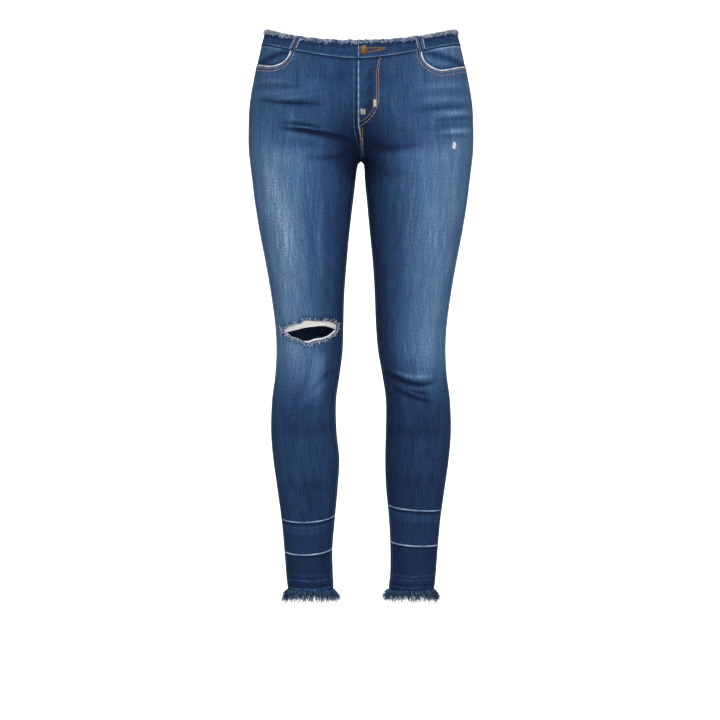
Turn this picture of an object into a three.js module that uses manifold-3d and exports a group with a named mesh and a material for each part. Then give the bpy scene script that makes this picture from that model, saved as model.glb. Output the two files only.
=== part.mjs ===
// Ripped skinny jeans with a raw waist, scoop pockets, one slashed knee and frayed, banded hems.
// Millimetres, +Z up, the front faces -Y and the wearer's left is +X. The garment is hollow and
// filled out, as on a general figure, with its waist and both hems open. The origin is in the
// middle of the waist opening, at the height where the waistband is held by the wearer.

import * as THREE from 'three';
import { mergeVertices } from 'three/addons/utils/BufferGeometryUtils.js';
import Module from 'manifold-3d';

const wasm = await Module();
wasm.setup();

// ---------------------------------------------------------------- driving dimensions

const CLOTH = 1.4; // wall of one denim panel
const BAND = 2.2; // wall of the doubled waistband
const GAP = 0.3; // clearance between pieces that are sewn or lie on each other

const CROTCH_Z = -188; // height of the crotch point
const CROTCH_ROUND_FRONT = 80; // height over which the front rise curves under
const CROTCH_ROUND_BACK = 95; // height over which the back rise curves under
const THIGH_MERGE = 130; // how far below and above the crotch the outer thigh joins the hip
const CROTCH_SPREAD = 70; // how far out from the middle the crotch curve shapes the cloth
const FAN_HEIGHT = 25; // height above the crotch over which the columns fan out to the hips'
const BRIDGE = 8; // how tightly the cloth between the thighs meets them: higher is sharper
const BRIDGE_REACH = [30, 100]; // that cloth ends between these distances from the middle
const FRONT_TURN = 5.5; // the centre front sits this far to the wearer's right
const FLY_FOOT_Z = -138; // below this the centre front seam runs back to the middle

const WAIST_FRONT_Z = -10; // top of the waistband at the centre front
const WAIST_SIDE_RISE = 30; // how much higher it is at the side seam
const WAIST_BACK_Z = 21; // top of the waistband at the centre back
const SEAM_FRONT_Z = -39; // seam under the waistband at the centre front
const SEAM_SIDE_RISE = 36; // how much higher that seam is at the side
const SEAM_BACK_Z = -8; // the same seam at the centre back

// Hips above the crotch: height, depth to the front, depth to the back.
const HIP_STATIONS = [
  [30, 99, 103],
  [0, 104, 109],
  [-50, 109, 118],
  [-100, 111, 125],
  [-140, 109, 124],
  [-190, 102, 113],
  [-260, 94, 98],
  [-300, 90, 92],
];

// Legs: height, outer edge, inner edge of the left leg and of the right leg, all from the middle,
// then the leg's middle in Y and its half depth.
const LEG_STATIONS = [
  [30, 150, 0.4, 0.4, 0, 95],
  [0, 158.4, 0.4, 0.4, 0, 95],
  [-50, 169.5, 0.4, 0.4, 0, 94],
  [-100, 177.8, 0.4, 0.4, 0, 93],
  [-140, 179.4, 0.4, 0.4, -3, 92],
  [-170, 179, 0.4, 0.4, -6, 91],
  [-188, 177.2, 0.4, 0.4, -7, 90],
  [-193, 176.6, 4.6, 5, -7.4, 89.5],
  [-218, 173.4, 6.6, 9, -9, 88],
  [-250, 169.4, 10, 13, -10, 85],
  [-300, 161.4, 14.6, 19, -10, 79],
  [-350, 151.8, 19.6, 23.6, -9, 73.5],
  [-400, 143.2, 22.6, 27.4, -7, 67.5],
  [-450, 136.6, 24.6, 28.8, -4, 61.5],
  [-490, 134.8, 28, 30, 0, 58],
  [-530, 137, 35, 35, 5, 56],
  [-570, 142.2, 40.6, 40.6, 9, 57],
  [-620, 144, 40.6, 40, 14, 59],
  [-665, 140.6, 39.6, 35.6, 17, 57],
  [-710, 134.4, 41, 38, 18, 53],
  [-760, 127.6, 45.6, 42.6, 18, 48],
  [-810, 123, 48, 46.6, 19, 44],
  [-850, 120, 47.6, 46, 20, 42],
  [-874, 117.6, 45, 44.6, 20, 42],
  [-905, 114, 44, 44, 20, 42],
];

// Each leg's lower seams, as heights at the front middle, the outseam and the inseam.
const LEG_SEAMS = {
  left: { upper: [-745, -747, -738], lower: [-802, -803, -797] },
  right: { upper: [-764, -760, -754], lower: [-816, -813, -808] },
};
const HEM_Z = -874;

// Largest folds pressed in by wear, each from one end to the other as X and Z on the front, with
// the half width of the trough and its depth (a minus sign makes a ridge).
const FRONT_FOLDS = [
  { from: [-118, -103], to: [-62, -107], half: 6, depth: 2.2 },
  { from: [-116, -133], to: [-16, -160], half: 6, depth: 2.6 },
  { from: [-112, -141], to: [-20, -166], half: 5, depth: -1.4 },
  { from: [40, -528], to: [116, -541], half: 8, depth: 3 },
  { from: [56, -552], to: [112, -566], half: 7, depth: 2.2 },
  { from: [-38, -518], to: [-92, -566], half: 8, depth: 1.6 },
];
const BACK_FOLDS = [
  { from: [40, -506], to: [124, -500], half: 9, depth: 3 },
  { from: [-40, -500], to: [-124, -508], half: 9, depth: 3 },
  { from: [36, -214], to: [150, -196], half: 10, depth: 2.6 },
  { from: [-36, -216], to: [-150, -196], half: 10, depth: 2.6 },
];

const POCKETS = {
  left: { innerX: 94, shoulderX: 104, lowX: 126, lowZ: -52.5, sideZ: -40 },
  right: { innerX: 109, shoulderX: 117, lowX: 137, lowZ: -45, sideZ: -37 },
};
const FACING = { wall: 1.2, depth: 24, tuck: 0.12 }; // wall, reach below and beside the opening

// Slashed knee of the right leg, as X and Z of the cut from the outer tip and back to it.
const RIP_TOP = [[-125, -459], [-106, -450], [-88, -443.6], [-62, -442.8], [-44, -446], [-37.6, -453]];
const RIP_BOTTOM = [[-47, -466], [-66, -474.6], [-88, -477], [-110, -471]];
const RIP_THREADS = { outerX: 128, innerX: 36, topZ: -439, height: 14, behind: 1.8, wall: 1 };

const LOOP_WIDTH = 11;
const WAIST_ARC = 210; // length of the waist's arc from a centre seam to the outseam
const BUTTON = { x: 4, z: -26, radius: 7, cap: 2.6, shank: 2.6 };
const BUTTONHOLE = { eye: 3.6, slot: 1, end: 22 };
const PLACKET_FOOT_Z = -146;
const UNDERLAP = { end: -0.17, middle: -0.08, start: 0.01, clear: 0.03 }; // as q of the right front
const YOKE = { sideZ: -44, centreZ: -76 };
const BACK_POCKET = { // corners as X from the middle, heights of its top and of its foot's point
  topInner: 30, topOuter: 138, footInner: 38, footOuter: 126, topZ: -90, footZ: -188, point: 16,
  wall: 1.2, out: 3.4,
};
const FRAY = { height: 3.4, wall: 2.4 };
const FRINGE = { height: 21, flare: 7, wall: 3 };

const SIDES = { left: 1, right: -1 };

const COLOURS = {
  denim: 0x3f5f8c,
  bandDenim: 0x274068,
  waistDenim: 0x34517c,
  facing: 0x4a6b97,
  frayed: 0x8fa9c9,
  weft: 0xe9ebee,
  bronze: 0x8a6236,
};

// ---------------------------------------------------------------- the garment's surface

/** Smooth value of one column of a station table at height z. */
function stationValue(stations, column, z) {
  const last = stations.length - 1;
  let i = 0;
  while (i < last - 1 && stations[i + 1][0] > z) i += 1;
  const slope = (k) => {
    const a = stations[Math.max(k - 1, 0)];
    const b = stations[Math.min(k + 1, last)];
    return (b[column] - a[column]) / (b[0] - a[0]);
  };
  const [z0, z1] = [stations[i][0], stations[i + 1][0]];
  const s = THREE.MathUtils.clamp((z - z0) / (z1 - z0), 0, 1);
  const [p0, p1] = [stations[i][column], stations[i + 1][column]];
  const [m0, m1] = [slope(i) * (z1 - z0), slope(i + 1) * (z1 - z0)];
  const s2 = s * s;
  const s3 = s2 * s;
  return (2 * s3 - 3 * s2 + 1) * p0 + (s3 - 2 * s2 + s) * m0 + (3 * s2 - 2 * s3) * p1 + (s3 - s2) * m1;
}

/** A point of the leg's ring, turned by t from the inseam (0) to the outseam (1). */
function legPoint(side, face, t, z) {
  const outer = stationValue(LEG_STATIONS, 1, z);
  const inner = stationValue(LEG_STATIONS, side > 0 ? 2 : 3, z);
  const middleY = stationValue(LEG_STATIONS, 4, z);
  const halfDepth = stationValue(LEG_STATIONS, 5, z);
  const turn = Math.PI * t;
  const x = (outer + inner) / 2 - ((outer - inner) / 2) * Math.cos(turn);
  return new THREE.Vector3(side * x, middleY + face * halfDepth * Math.sin(turn), z);
}

/** How far the centre seam stands from the middle, as it curves under to the crotch point. */
function riseDepth(face, hipDepth, above) {
  const round = face < 0 ? CROTCH_ROUND_FRONT : CROTCH_ROUND_BACK;
  const rise = 1 - THREE.MathUtils.clamp(above / round, 0, 1);
  return hipDepth * Math.sqrt(1 - rise * rise);
}

/** The figure's surface: turn runs from -1 (right outseam) over 0 (centre) to 1 (left outseam). */
function figurePoint(face, turn, z) {
  const t = Math.abs(turn);
  const above = z - CROTCH_Z;
  const aligned = Math.acos(1 - 2 * Math.min(Math.sin((Math.PI / 2) * t), 1)) / Math.PI;
  const fan = THREE.MathUtils.smoothstep(above, 0, FAN_HEIGHT);
  const point = legPoint(turn < 0 ? -1 : 1, face, THREE.MathUtils.lerp(t, aligned, fan), z);
  const x = Math.abs(point.x);
  const hipDepth = stationValue(HIP_STATIONS, face < 0 ? 1 : 2, z);
  const hip = hipDepth * Math.sqrt(Math.max(1 - (x / stationValue(LEG_STATIONS, 1, z)) ** 2, 0));
  let depth = face * point.y;
  if (above > 0) {
    const reach = 1 - THREE.MathUtils.smoothstep(x, ...BRIDGE_REACH);
    const bridge = Math.min(riseDepth(face, hipDepth, above), hip) * reach;
    depth = (Math.max(depth, 0) ** BRIDGE + bridge ** BRIDGE) ** (1 / BRIDGE);
  }
  const joined = THREE.MathUtils.smoothstep(above, -THIGH_MERGE, THIGH_MERGE);
  const share = joined * THREE.MathUtils.smoothstep(x, 0, CROTCH_SPREAD);
  const risen = THREE.MathUtils.smoothstep(above, 0, THIGH_MERGE);
  point.y = face * THREE.MathUtils.lerp(depth, hip, THREE.MathUtils.lerp(share, 1, risen));
  return point;
}

/** Depth of the pressed folds at a point of one face. */
function foldDepth(face, x, z) {
  let depth = 0;
  for (const fold of face < 0 ? FRONT_FOLDS : BACK_FOLDS) {
    const along = new THREE.Vector2(fold.to[0] - fold.from[0], fold.to[1] - fold.from[1]);
    const here = new THREE.Vector2(x - fold.from[0], z - fold.from[1]);
    const s = THREE.MathUtils.clamp(here.dot(along) / along.lengthSq(), 0, 1);
    const across = here.sub(along.clone().multiplyScalar(s)).length() / fold.half;
    depth += fold.depth * Math.sin(Math.PI * s) * Math.exp(-across * across);
  }
  return depth;
}

/** Turn that the centre front seam has at height z. */
function frontTurn(z) {
  const turned = THREE.MathUtils.smoothstep(z, CROTCH_Z + 15, FLY_FOOT_Z);
  return -((2 / Math.PI) * Math.asin(FRONT_TURN / stationValue(LEG_STATIONS, 1, z))) * turned;
}

/**
 * A point of the cloth. q runs from the centre seam or inseam (0) to the outseam (1) of one side,
 * and out is how far the point stands off the outer face of the panels.
 */
function clothPoint(side, face, q, z, out) {
  const shift = face < 0 ? frontTurn(z) * (1 - q * q) : 0;
  const turn = side * q + shift;
  const step = (turn < 0 ? -0.015 : 0.015) * (Math.abs(turn) < 0.5 ? 1 : -1);
  const here = figurePoint(face, turn, z);
  const across = figurePoint(face, turn + step, z).sub(here).multiplyScalar(Math.sign(step));
  const up = figurePoint(face, turn, z + 0.5).sub(figurePoint(face, turn, z - 0.5));
  const normal = across.cross(up).normalize().multiplyScalar(-face);
  return here.addScaledVector(normal, out - foldDepth(face, here.x, here.z));
}

/** q that keeps a sewn edge half a gap from the seam line. */
function edgeTurn(z) {
  return GAP / (Math.PI * stationValue(LEG_STATIONS, 5, z));
}

/** q of a point that lies x from the middle of the hips. */
function turnAtX(x, z) {
  return (2 / Math.PI) * Math.asin(x / stationValue(LEG_STATIONS, 1, z));
}

/** q of a point of the back that lies x from the middle, at any height. */
function backTurnAtX(x, z) {
  let [low, high] = [0, 1];
  for (let i = 0; i < 20; i += 1) {
    const half = (low + high) / 2;
    if (figurePoint(1, half, z).x < x) low = half;
    else high = half;
  }
  return low;
}

// ---------------------------------------------------------------- seams around the garment

const evenSteps = (count) => Array.from({ length: count + 1 }, (_, i) => i / count);
const COLUMNS = evenSteps(8);

/** A seam that runs straight from column to column, so that both its pieces share its line. */
const jointed = (curve) => (face, q) => {
  const spans = COLUMNS.length - 1;
  const span = Math.min(Math.floor(q * spans), spans - 1);
  const [from, to] = [curve(face, span / spans), curve(face, (span + 1) / spans)];
  return THREE.MathUtils.lerp(from, to, q * spans - span);
};

const waistTop = jointed((face, q) => {
  const side = WAIST_FRONT_Z + WAIST_SIDE_RISE;
  if (face > 0) return THREE.MathUtils.lerp(WAIST_BACK_Z, side, q * q);
  return WAIST_FRONT_Z + WAIST_SIDE_RISE * Math.sin((Math.PI / 2) * q) ** 2.2;
});

const waistSeam = jointed((face, q) => {
  const side = SEAM_FRONT_Z + SEAM_SIDE_RISE;
  if (face > 0) return THREE.MathUtils.lerp(SEAM_BACK_Z, side, q * q);
  return SEAM_FRONT_Z + SEAM_SIDE_RISE * Math.sin((Math.PI / 2) * q) ** 1.6;
});

const yokeSeam = (q) => THREE.MathUtils.lerp(YOKE.centreZ, YOKE.sideZ, q);

/** Height of one of a leg's lower seams at q; its back dips as little as its front. */
function legSeam(side, which, q) {
  const [middle, outer, inner] = LEG_SEAMS[side > 0 ? 'left' : 'right'][which];
  const straight = THREE.MathUtils.lerp(inner, outer, q);
  return straight + (middle - (inner + outer) / 2) * Math.sin(Math.PI * q);
}

// ---------------------------------------------------------------- lofts and cuts

/** A closed solid between two sheets of points, outer[row][column] and inner[row][column]. */
function sheetSolid(outer, inner, ring = false) {
  const rows = outer.length;
  const columns = outer[0].length;
  const positions = [...outer.flat(), ...inner.flat()].flatMap((p) => [p.x, p.y, p.z]);
  const at = (layer, row, column) => (layer * rows + row) * columns + (column % columns);
  const index = [];
  const quad = (a, b, c, d) => index.push(a, b, c, a, c, d);
  const spans = ring ? columns : columns - 1;
  for (let r = 0; r < rows - 1; r += 1) {
    for (let c = 0; c < spans; c += 1) {
      quad(at(0, r, c), at(0, r, c + 1), at(0, r + 1, c + 1), at(0, r + 1, c));
      quad(at(1, r, c), at(1, r + 1, c), at(1, r + 1, c + 1), at(1, r, c + 1));
    }
  }
  for (let c = 0; c < spans; c += 1) {
    quad(at(0, 0, c), at(1, 0, c), at(1, 0, c + 1), at(0, 0, c + 1));
    quad(at(0, rows - 1, c), at(0, rows - 1, c + 1), at(1, rows - 1, c + 1), at(1, rows - 1, c));
  }
  for (let r = 0; r < rows - 1 && !ring; r += 1) {
    quad(at(0, r, 0), at(0, r + 1, 0), at(1, r + 1, 0), at(1, r, 0));
    quad(at(0, r, spans), at(1, r, spans), at(1, r + 1, spans), at(0, r + 1, spans));
  }
  const geometry = new THREE.BufferGeometry();
  geometry.setAttribute('position', new THREE.Float32BufferAttribute(positions, 3));
  geometry.setIndex(index);
  return facingOut(geometry);
}

/** The same solid with its faces turned outwards. */
function facingOut(geometry) {
  const point = (i) => new THREE.Vector3().fromBufferAttribute(geometry.attributes.position, i);
  const index = geometry.index.array;
  let volume = 0;
  for (let i = 0; i < index.length; i += 3) {
    volume += point(index[i]).dot(point(index[i + 1]).cross(point(index[i + 2])));
  }
  if (volume < 0) index.reverse();
  return geometry;
}

/** A wall whose columns run over q and rows over s, both from 0 to 1, placed by place(u, s). */
function wall({ side, face, columns, rows, place, out = 0, thick = CLOTH }) {
  const sheet = (offset) => rows.map((s) => columns.map((u) => {
    const { q, z } = place(u, s);
    const extra = typeof out === 'function' ? out(u, s) : out;
    return clothPoint(side, face, q, z, extra - offset);
  }));
  return sheetSolid(sheet(0), sheet(thick));
}

/** A panel between two seams; each seam's height is a function of q. */
function panel({ side, face, top, bottom, count, ...rest }) {
  const place = (u, s) => {
    const edge = edgeTurn(top(u));
    const q = THREE.MathUtils.lerp(edge, 1 - edge, u);
    return { q, z: THREE.MathUtils.lerp(top(q) - GAP / 2, bottom(q) + GAP / 2, s) };
  };
  return wall({ side, face, columns: COLUMNS, rows: evenSteps(count), place, ...rest });
}

/** Rows of a leg panel, and where they lie: level except near the seams above and below it. */
function legGrid(side, top) {
  const bottom = (q) => legSeam(side, 'upper', q);
  const [highest, lowest] = [top(0.5), bottom(0.5)];
  const heights = [highest];
  for (let z = highest - 18; z > CROTCH_Z + 14; z -= 18) heights.push(z);
  heights.push(...[10, 2, -0.2, -5, -14, -26].map((rise) => CROTCH_Z + rise));
  for (let z = CROTCH_Z - 46; z > lowest + 12; z -= 23) heights.push(z);
  heights.push(lowest);
  const place = (u, height) => {
    const edge = edgeTurn(height);
    const q = THREE.MathUtils.lerp(edge, 1 - edge, u);
    const nearTop = THREE.MathUtils.smoothstep(height, CROTCH_Z + 10, highest);
    const nearLow = 1 - THREE.MathUtils.smoothstep(height, lowest, lowest + 130);
    const lift = (top(q) - GAP / 2 - highest) * nearTop + (bottom(q) + GAP / 2 - lowest) * nearLow;
    return { q, z: height + lift };
  };
  return { rows: heights, place };
}

const frontGrid = (side) => legGrid(side, (q) => waistSeam(-1, q));
const backGrid = (side) => legGrid(side, yokeSeam);

/** Points all round the waist (ring of both sides) or round one leg, as side, face and q. */
function ringStops(sides, steps) {
  const stops = [];
  const half = evenSteps(steps).slice(0, -1).map((u) => Math.max(u, 0.0005));
  if (sides === 'waist') {
    half.forEach((u) => stops.push({ side: 1, face: -1, q: u }));
    half.forEach((u) => stops.push({ side: 1, face: 1, q: 1 - u }));
    half.forEach((u) => stops.push({ side: -1, face: 1, q: u }));
    half.forEach((u) => stops.push({ side: -1, face: -1, q: 1 - u }));
    return stops;
  }
  half.forEach((u) => stops.push({ side: sides, face: -1, q: u }));
  half.forEach((u) => stops.push({ side: sides, face: 1, q: 1 - u }));
  return stops;
}

/** A closed ring of stops between heights given by rowZ(stop, row) and stand-offs rowOut(row). */
function ringWall(stops, rowCount, rowZ, rowOut, thick) {
  const sheet = (offset) => Array.from({ length: rowCount }, (_, row) => stops.map((stop) => (
    clothPoint(stop.side, stop.face, stop.q, rowZ(stop, row), rowOut(row) - offset)
  )));
  return sheetSolid(sheet(0), sheet(thick), true);
}

/** An outline drawn as X and Z, cut through the cloth along Y from fromY to toY. */
function frontCutter(shape, fromY, toY) {
  const geometry = new THREE.ExtrudeGeometry(shape, {
    depth: toY - fromY, bevelEnabled: false, curveSegments: 5,
  });
  geometry.rotateX(Math.PI / 2);
  return geometry.translate(0, toY, 0);
}

function toManifold(geometry) {
  const plain = geometry.clone();
  plain.deleteAttribute('normal');
  plain.deleteAttribute('uv');
  const merged = mergeVertices(plain, 1e-3);
  const vertProperties = Float32Array.from(merged.attributes.position.array);
  const triVerts = Uint32Array.from(merged.index.array);
  return new wasm.Manifold(new wasm.Mesh({ numProp: 3, vertProperties, triVerts }));
}

function subtract(geometry, ...cutters) {
  let solid = toManifold(geometry);
  cutters.forEach((cutter) => {
    solid = solid.subtract(toManifold(cutter));
  });
  const { vertProperties, triVerts } = solid.getMesh();
  const result = new THREE.BufferGeometry();
  result.setAttribute('position', new THREE.BufferAttribute(vertProperties, 3));
  result.setIndex(new THREE.BufferAttribute(triVerts, 1));
  return result;
}

// ---------------------------------------------------------------- the assembly

const jeans = new THREE.Group();

function addPiece(name, geometry, colour, roughness = 0.9, metalness = 0) {
  geometry.computeVertexNormals();
  const material = new THREE.MeshStandardMaterial({ color: colour, roughness, metalness });
  const mesh = new THREE.Mesh(geometry, material);
  mesh.name = name;
  jeans.add(mesh);
}

/** Cutter for a scoop pocket: everything above its opening, out to past the side seam. */
function pocketCutter(side, pocket) {
  const reach = 200;
  const above = 40;
  const shape = new THREE.Shape();
  shape.moveTo(side * pocket.innerX, above);
  shape.lineTo(side * pocket.innerX, SEAM_FRONT_Z + 10);
  shape.splineThru([
    new THREE.Vector2(side * pocket.shoulderX, pocket.lowZ + 8),
    new THREE.Vector2(side * pocket.lowX, pocket.lowZ),
    new THREE.Vector2(side * (pocket.lowX + 26), (pocket.lowZ + pocket.sideZ) / 2),
    new THREE.Vector2(side * reach, pocket.sideZ),
  ]);
  shape.lineTo(side * reach, above);
  shape.closePath();
  return frontCutter(shape, -160, 4);
}

function ripCutter() {
  const outline = new THREE.Shape();
  outline.moveTo(...RIP_TOP[0]);
  outline.splineThru(RIP_TOP.slice(1).map((p) => new THREE.Vector2(...p)));
  outline.splineThru([...RIP_BOTTOM, RIP_TOP[0]].map((p) => new THREE.Vector2(...p)));
  return frontCutter(outline, -130, -8);
}

/** The buttonhole: a round eye with a slot running to the wearer's left. */
function buttonholeCutter() {
  const { eye, slot, end } = BUTTONHOLE;
  const shape = new THREE.Shape();
  const lip = Math.asin(slot / eye);
  shape.absarc(BUTTON.x, BUTTON.z, eye, lip, Math.PI * 2 - lip);
  shape.lineTo(BUTTON.x + end, BUTTON.z + slot);
  shape.lineTo(BUTTON.x + end, BUTTON.z + slot * 3);
  shape.closePath();
  return frontCutter(shape, -130, -80);
}

function buildPanels() {
  for (const [name, side] of Object.entries(SIDES)) {
    const cutters = [pocketCutter(side, POCKETS[name])];
    if (name === 'right') cutters.push(ripCutter());
    const front = wall({ side, face: -1, columns: COLUMNS, ...frontGrid(side) });
    addPiece(`front_panel_${name}`, subtract(front, ...cutters), COLOURS.denim);
    const back = wall({ side, face: 1, columns: COLUMNS, ...backGrid(side) });
    addPiece(`back_panel_${name}`, back, COLOURS.denim);
    const yoke = panel({ side, face: 1, top: (q) => waistSeam(1, q), bottom: yokeSeam, count: 3 });
    addPiece(`yoke_${name}`, yoke, COLOURS.denim);
  }
}

/** Shield under the fly, behind the left front and made from its own rows and columns. */
function buildPlacket() {
  const { rows, place } = frontGrid(1);
  const deep = rows.filter((height) => height > PLACKET_FOOT_Z);
  const placket = wall({
    side: 1, face: -1, columns: COLUMNS.slice(0, 2), rows: deep, place, out: -CLOTH - GAP,
  });
  addPiece('fly_placket', placket, COLOURS.waistDenim);
}

/** Waistband: the left front laps over the end of the right front, which carries the button. */
function buildWaistband() {
  const rows = evenSteps(3);
  const bandZ = (face, q, s) => {
    const t = Math.abs(q);
    return THREE.MathUtils.lerp(waistTop(face, t) - GAP / 2, waistSeam(face, t) + GAP / 2, s);
  };
  const bandPlace = (face) => (q, s) => ({ q, z: bandZ(face, q, s) });
  const edge = edgeTurn(0);
  const inner = COLUMNS.slice(1, -1);
  const left = wall({
    side: 1, face: -1, columns: [edge, ...inner, 1 - edge], rows, place: bandPlace(-1), thick: BAND,
  });
  addPiece('waistband_front_left', subtract(left, buttonholeCutter()), COLOURS.waistDenim);
  const { end, middle, start, clear } = UNDERLAP;
  const out = (q) => (q < clear ? -BAND - 2 * GAP : 0);
  const right = wall({
    side: -1, face: -1, columns: [end, middle, start, clear, ...inner, 1 - edge], rows, out,
    place: bandPlace(-1), thick: BAND,
  });
  addPiece('waistband_front_right', right, COLOURS.waistDenim);
  const across = [...COLUMNS.slice(1).reverse().map((q) => -q), ...COLUMNS];
  const back = wall({
    side: 1, face: 1, columns: across.map((q) => q * (1 - edge)), rows, place: bandPlace(1),
    thick: BAND,
  });
  addPiece('waistband_back', back, COLOURS.waistDenim);
}

/** Frayed raw edge that stands on the waistband all the way round. */
function buildWaistFray() {
  const rowZ = (stop, row) => waistTop(stop.face, stop.q) + GAP + row * FRAY.height;
  const ring = ringWall(ringStops('waist', 8), 2, rowZ, () => 0, FRAY.wall);
  addPiece('waist_fray', ring, COLOURS.frayed);
}

/** Facing that fills the scoop of a pocket, behind the front panel. */
function buildFacings() {
  for (const [name, side] of Object.entries(SIDES)) {
    const pocket = POCKETS[name];
    const { rows, place } = frontGrid(side);
    const columns = COLUMNS.filter((u) => u >= turnAtX(pocket.innerX, 0) - FACING.tuck);
    const deep = rows.filter((height) => height > pocket.lowZ - FACING.depth);
    const out = -CLOTH - GAP;
    const facing = wall({ side, face: -1, columns, rows: deep, place, out, thick: FACING.wall });
    addPiece(`pocket_facing_${name}`, facing, COLOURS.facing);
  }
}

/** A belt loop laid flat on the waistband between its raw edge and its lower seam. */
function beltLoop(side, face, topX, bottomX) {
  const place = (u, s) => {
    const middle = turnAtX(THREE.MathUtils.lerp(topX, bottomX, s), 0);
    const half = LOOP_WIDTH / 2 / WAIST_ARC;
    const q = middle + (u * 2 - 1) * half;
    const high = waistTop(face, middle) - 1;
    const low = waistSeam(face, middle) + 1;
    return { q, z: THREE.MathUtils.lerp(high, low, s) };
  };
  const out = GAP + CLOTH;
  return wall({ side, face, columns: evenSteps(2), rows: evenSteps(3), place, out });
}

function buildBeltLoops() {
  addPiece('belt_loop_front_left', beltLoop(1, -1, 92, 94), COLOURS.waistDenim);
  addPiece('belt_loop_front_right', beltLoop(-1, -1, 92, 99), COLOURS.waistDenim);
  addPiece('belt_loop_back_left', beltLoop(1, 1, 88, 88), COLOURS.waistDenim);
  addPiece('belt_loop_back_right', beltLoop(-1, 1, 88, 88), COLOURS.waistDenim);
  addPiece('belt_loop_back_centre', beltLoop(1, 1, 0, 0), COLOURS.waistDenim);
}

/** Plain patch pockets on the seat, with a shallow point at the foot. */
function buildBackPockets() {
  for (const [name, side] of Object.entries(SIDES)) {
    const place = (u, s) => {
      const { topInner, topOuter, footInner, footOuter, topZ, footZ, point } = BACK_POCKET;
      const inner = THREE.MathUtils.lerp(topInner, footInner, s);
      const outer = THREE.MathUtils.lerp(topOuter, footOuter, s);
      const foot = footZ + point * Math.abs(u * 2 - 1);
      const z = THREE.MathUtils.lerp(topZ, foot, s);
      return { q: backTurnAtX(THREE.MathUtils.lerp(inner, outer, u), z), z };
    };
    const pocket = wall({
      side, face: 1, columns: evenSteps(6), rows: evenSteps(8), place, out: BACK_POCKET.out,
      thick: BACK_POCKET.wall,
    });
    addPiece(`back_pocket_${name}`, pocket, COLOURS.denim);
  }
}

/** Two bands below each leg's lower seam, front and back, and the frayed fringe under them. */
function buildHems() {
  for (const [name, side] of Object.entries(SIDES)) {
    for (const [faceName, face] of [['front', -1], ['back', 1]]) {
      const upper = panel({
        side, face, count: 2, top: (q) => legSeam(side, 'upper', q),
        bottom: (q) => legSeam(side, 'lower', q),
      });
      addPiece(`leg_band_upper_${faceName}_${name}`, upper, COLOURS.bandDenim);
      const lower = panel({
        side, face, count: 3, top: (q) => legSeam(side, 'lower', q), bottom: () => HEM_Z,
      });
      addPiece(`leg_band_lower_${faceName}_${name}`, lower, COLOURS.bandDenim);
    }
    const rowZ = (stop, row) => HEM_Z - GAP - (row * FRINGE.height) / 2;
    const rowOut = (row) => (FRINGE.flare * row * row) / 4 + 0.6;
    const fringe = ringWall(ringStops(side, 10), 3, rowZ, rowOut, FRINGE.wall);
    addPiece(`hem_fringe_${name}`, fringe, COLOURS.frayed);
  }
}

/** White cross threads left in the slashed knee, behind its upper edge. */
function buildRipThreads() {
  const { outerX, innerX, topZ, height } = RIP_THREADS;
  const place = (u, s) => {
    const outer = stationValue(LEG_STATIONS, 1, topZ);
    const inner = stationValue(LEG_STATIONS, 3, topZ);
    const x = THREE.MathUtils.lerp(innerX, outerX, u);
    const across = (x - (outer + inner) / 2) / ((outer - inner) / 2);
    const droop = 14 * u * u;
    return { q: Math.acos(-across) / Math.PI, z: topZ - height * s - droop };
  };
  const threads = wall({
    side: -1, face: -1, columns: evenSteps(8), rows: evenSteps(2), place,
    out: -CLOTH - RIP_THREADS.behind, thick: RIP_THREADS.wall,
  });
  addPiece('rip_threads', threads, COLOURS.weft);
}

/** Domed tack button whose shank goes through the buttonhole. */
function buildButton() {
  const { x, z, radius, cap, shank } = BUTTON;
  const seat = clothPoint(1, -1, turnAtX(x + FRONT_TURN, z), z, 0).y - 1;
  const profile = new THREE.Path();
  profile.moveTo(0, -shank);
  profile.lineTo(BUTTONHOLE.eye - 0.8, -shank);
  profile.lineTo(BUTTONHOLE.eye - 0.8, 0);
  profile.lineTo(radius, 0);
  profile.lineTo(radius, cap * 0.45);
  profile.quadraticCurveTo(radius * 0.8, cap, 0, cap);
  const geometry = new THREE.LatheGeometry(profile.getPoints(5), 20);
  geometry.rotateX(Math.PI);
  geometry.translate(x, seat, z);
  addPiece('button', geometry, COLOURS.bronze, 0.4, 0.9);
}

buildPanels();
buildPlacket();
buildWaistband();
buildWaistFray();
buildFacings();
buildBeltLoops();
buildBackPockets();
buildHems();
buildRipThreads();
buildButton();

export default jeans;
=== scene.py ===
"""Ripped skinny jeans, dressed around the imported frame.

Sizes are in millimetres until a mesh is made. +Z is up, the front faces -Y and the wearer's left
is +X. A place on the cloth is a side, a face, q from the centre seam or inseam (0) to the outseam
(1), and a height z.
"""

import logging
import math
from dataclasses import dataclass, field
from enum import Enum
from typing import Callable, Optional, Sequence

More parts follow.
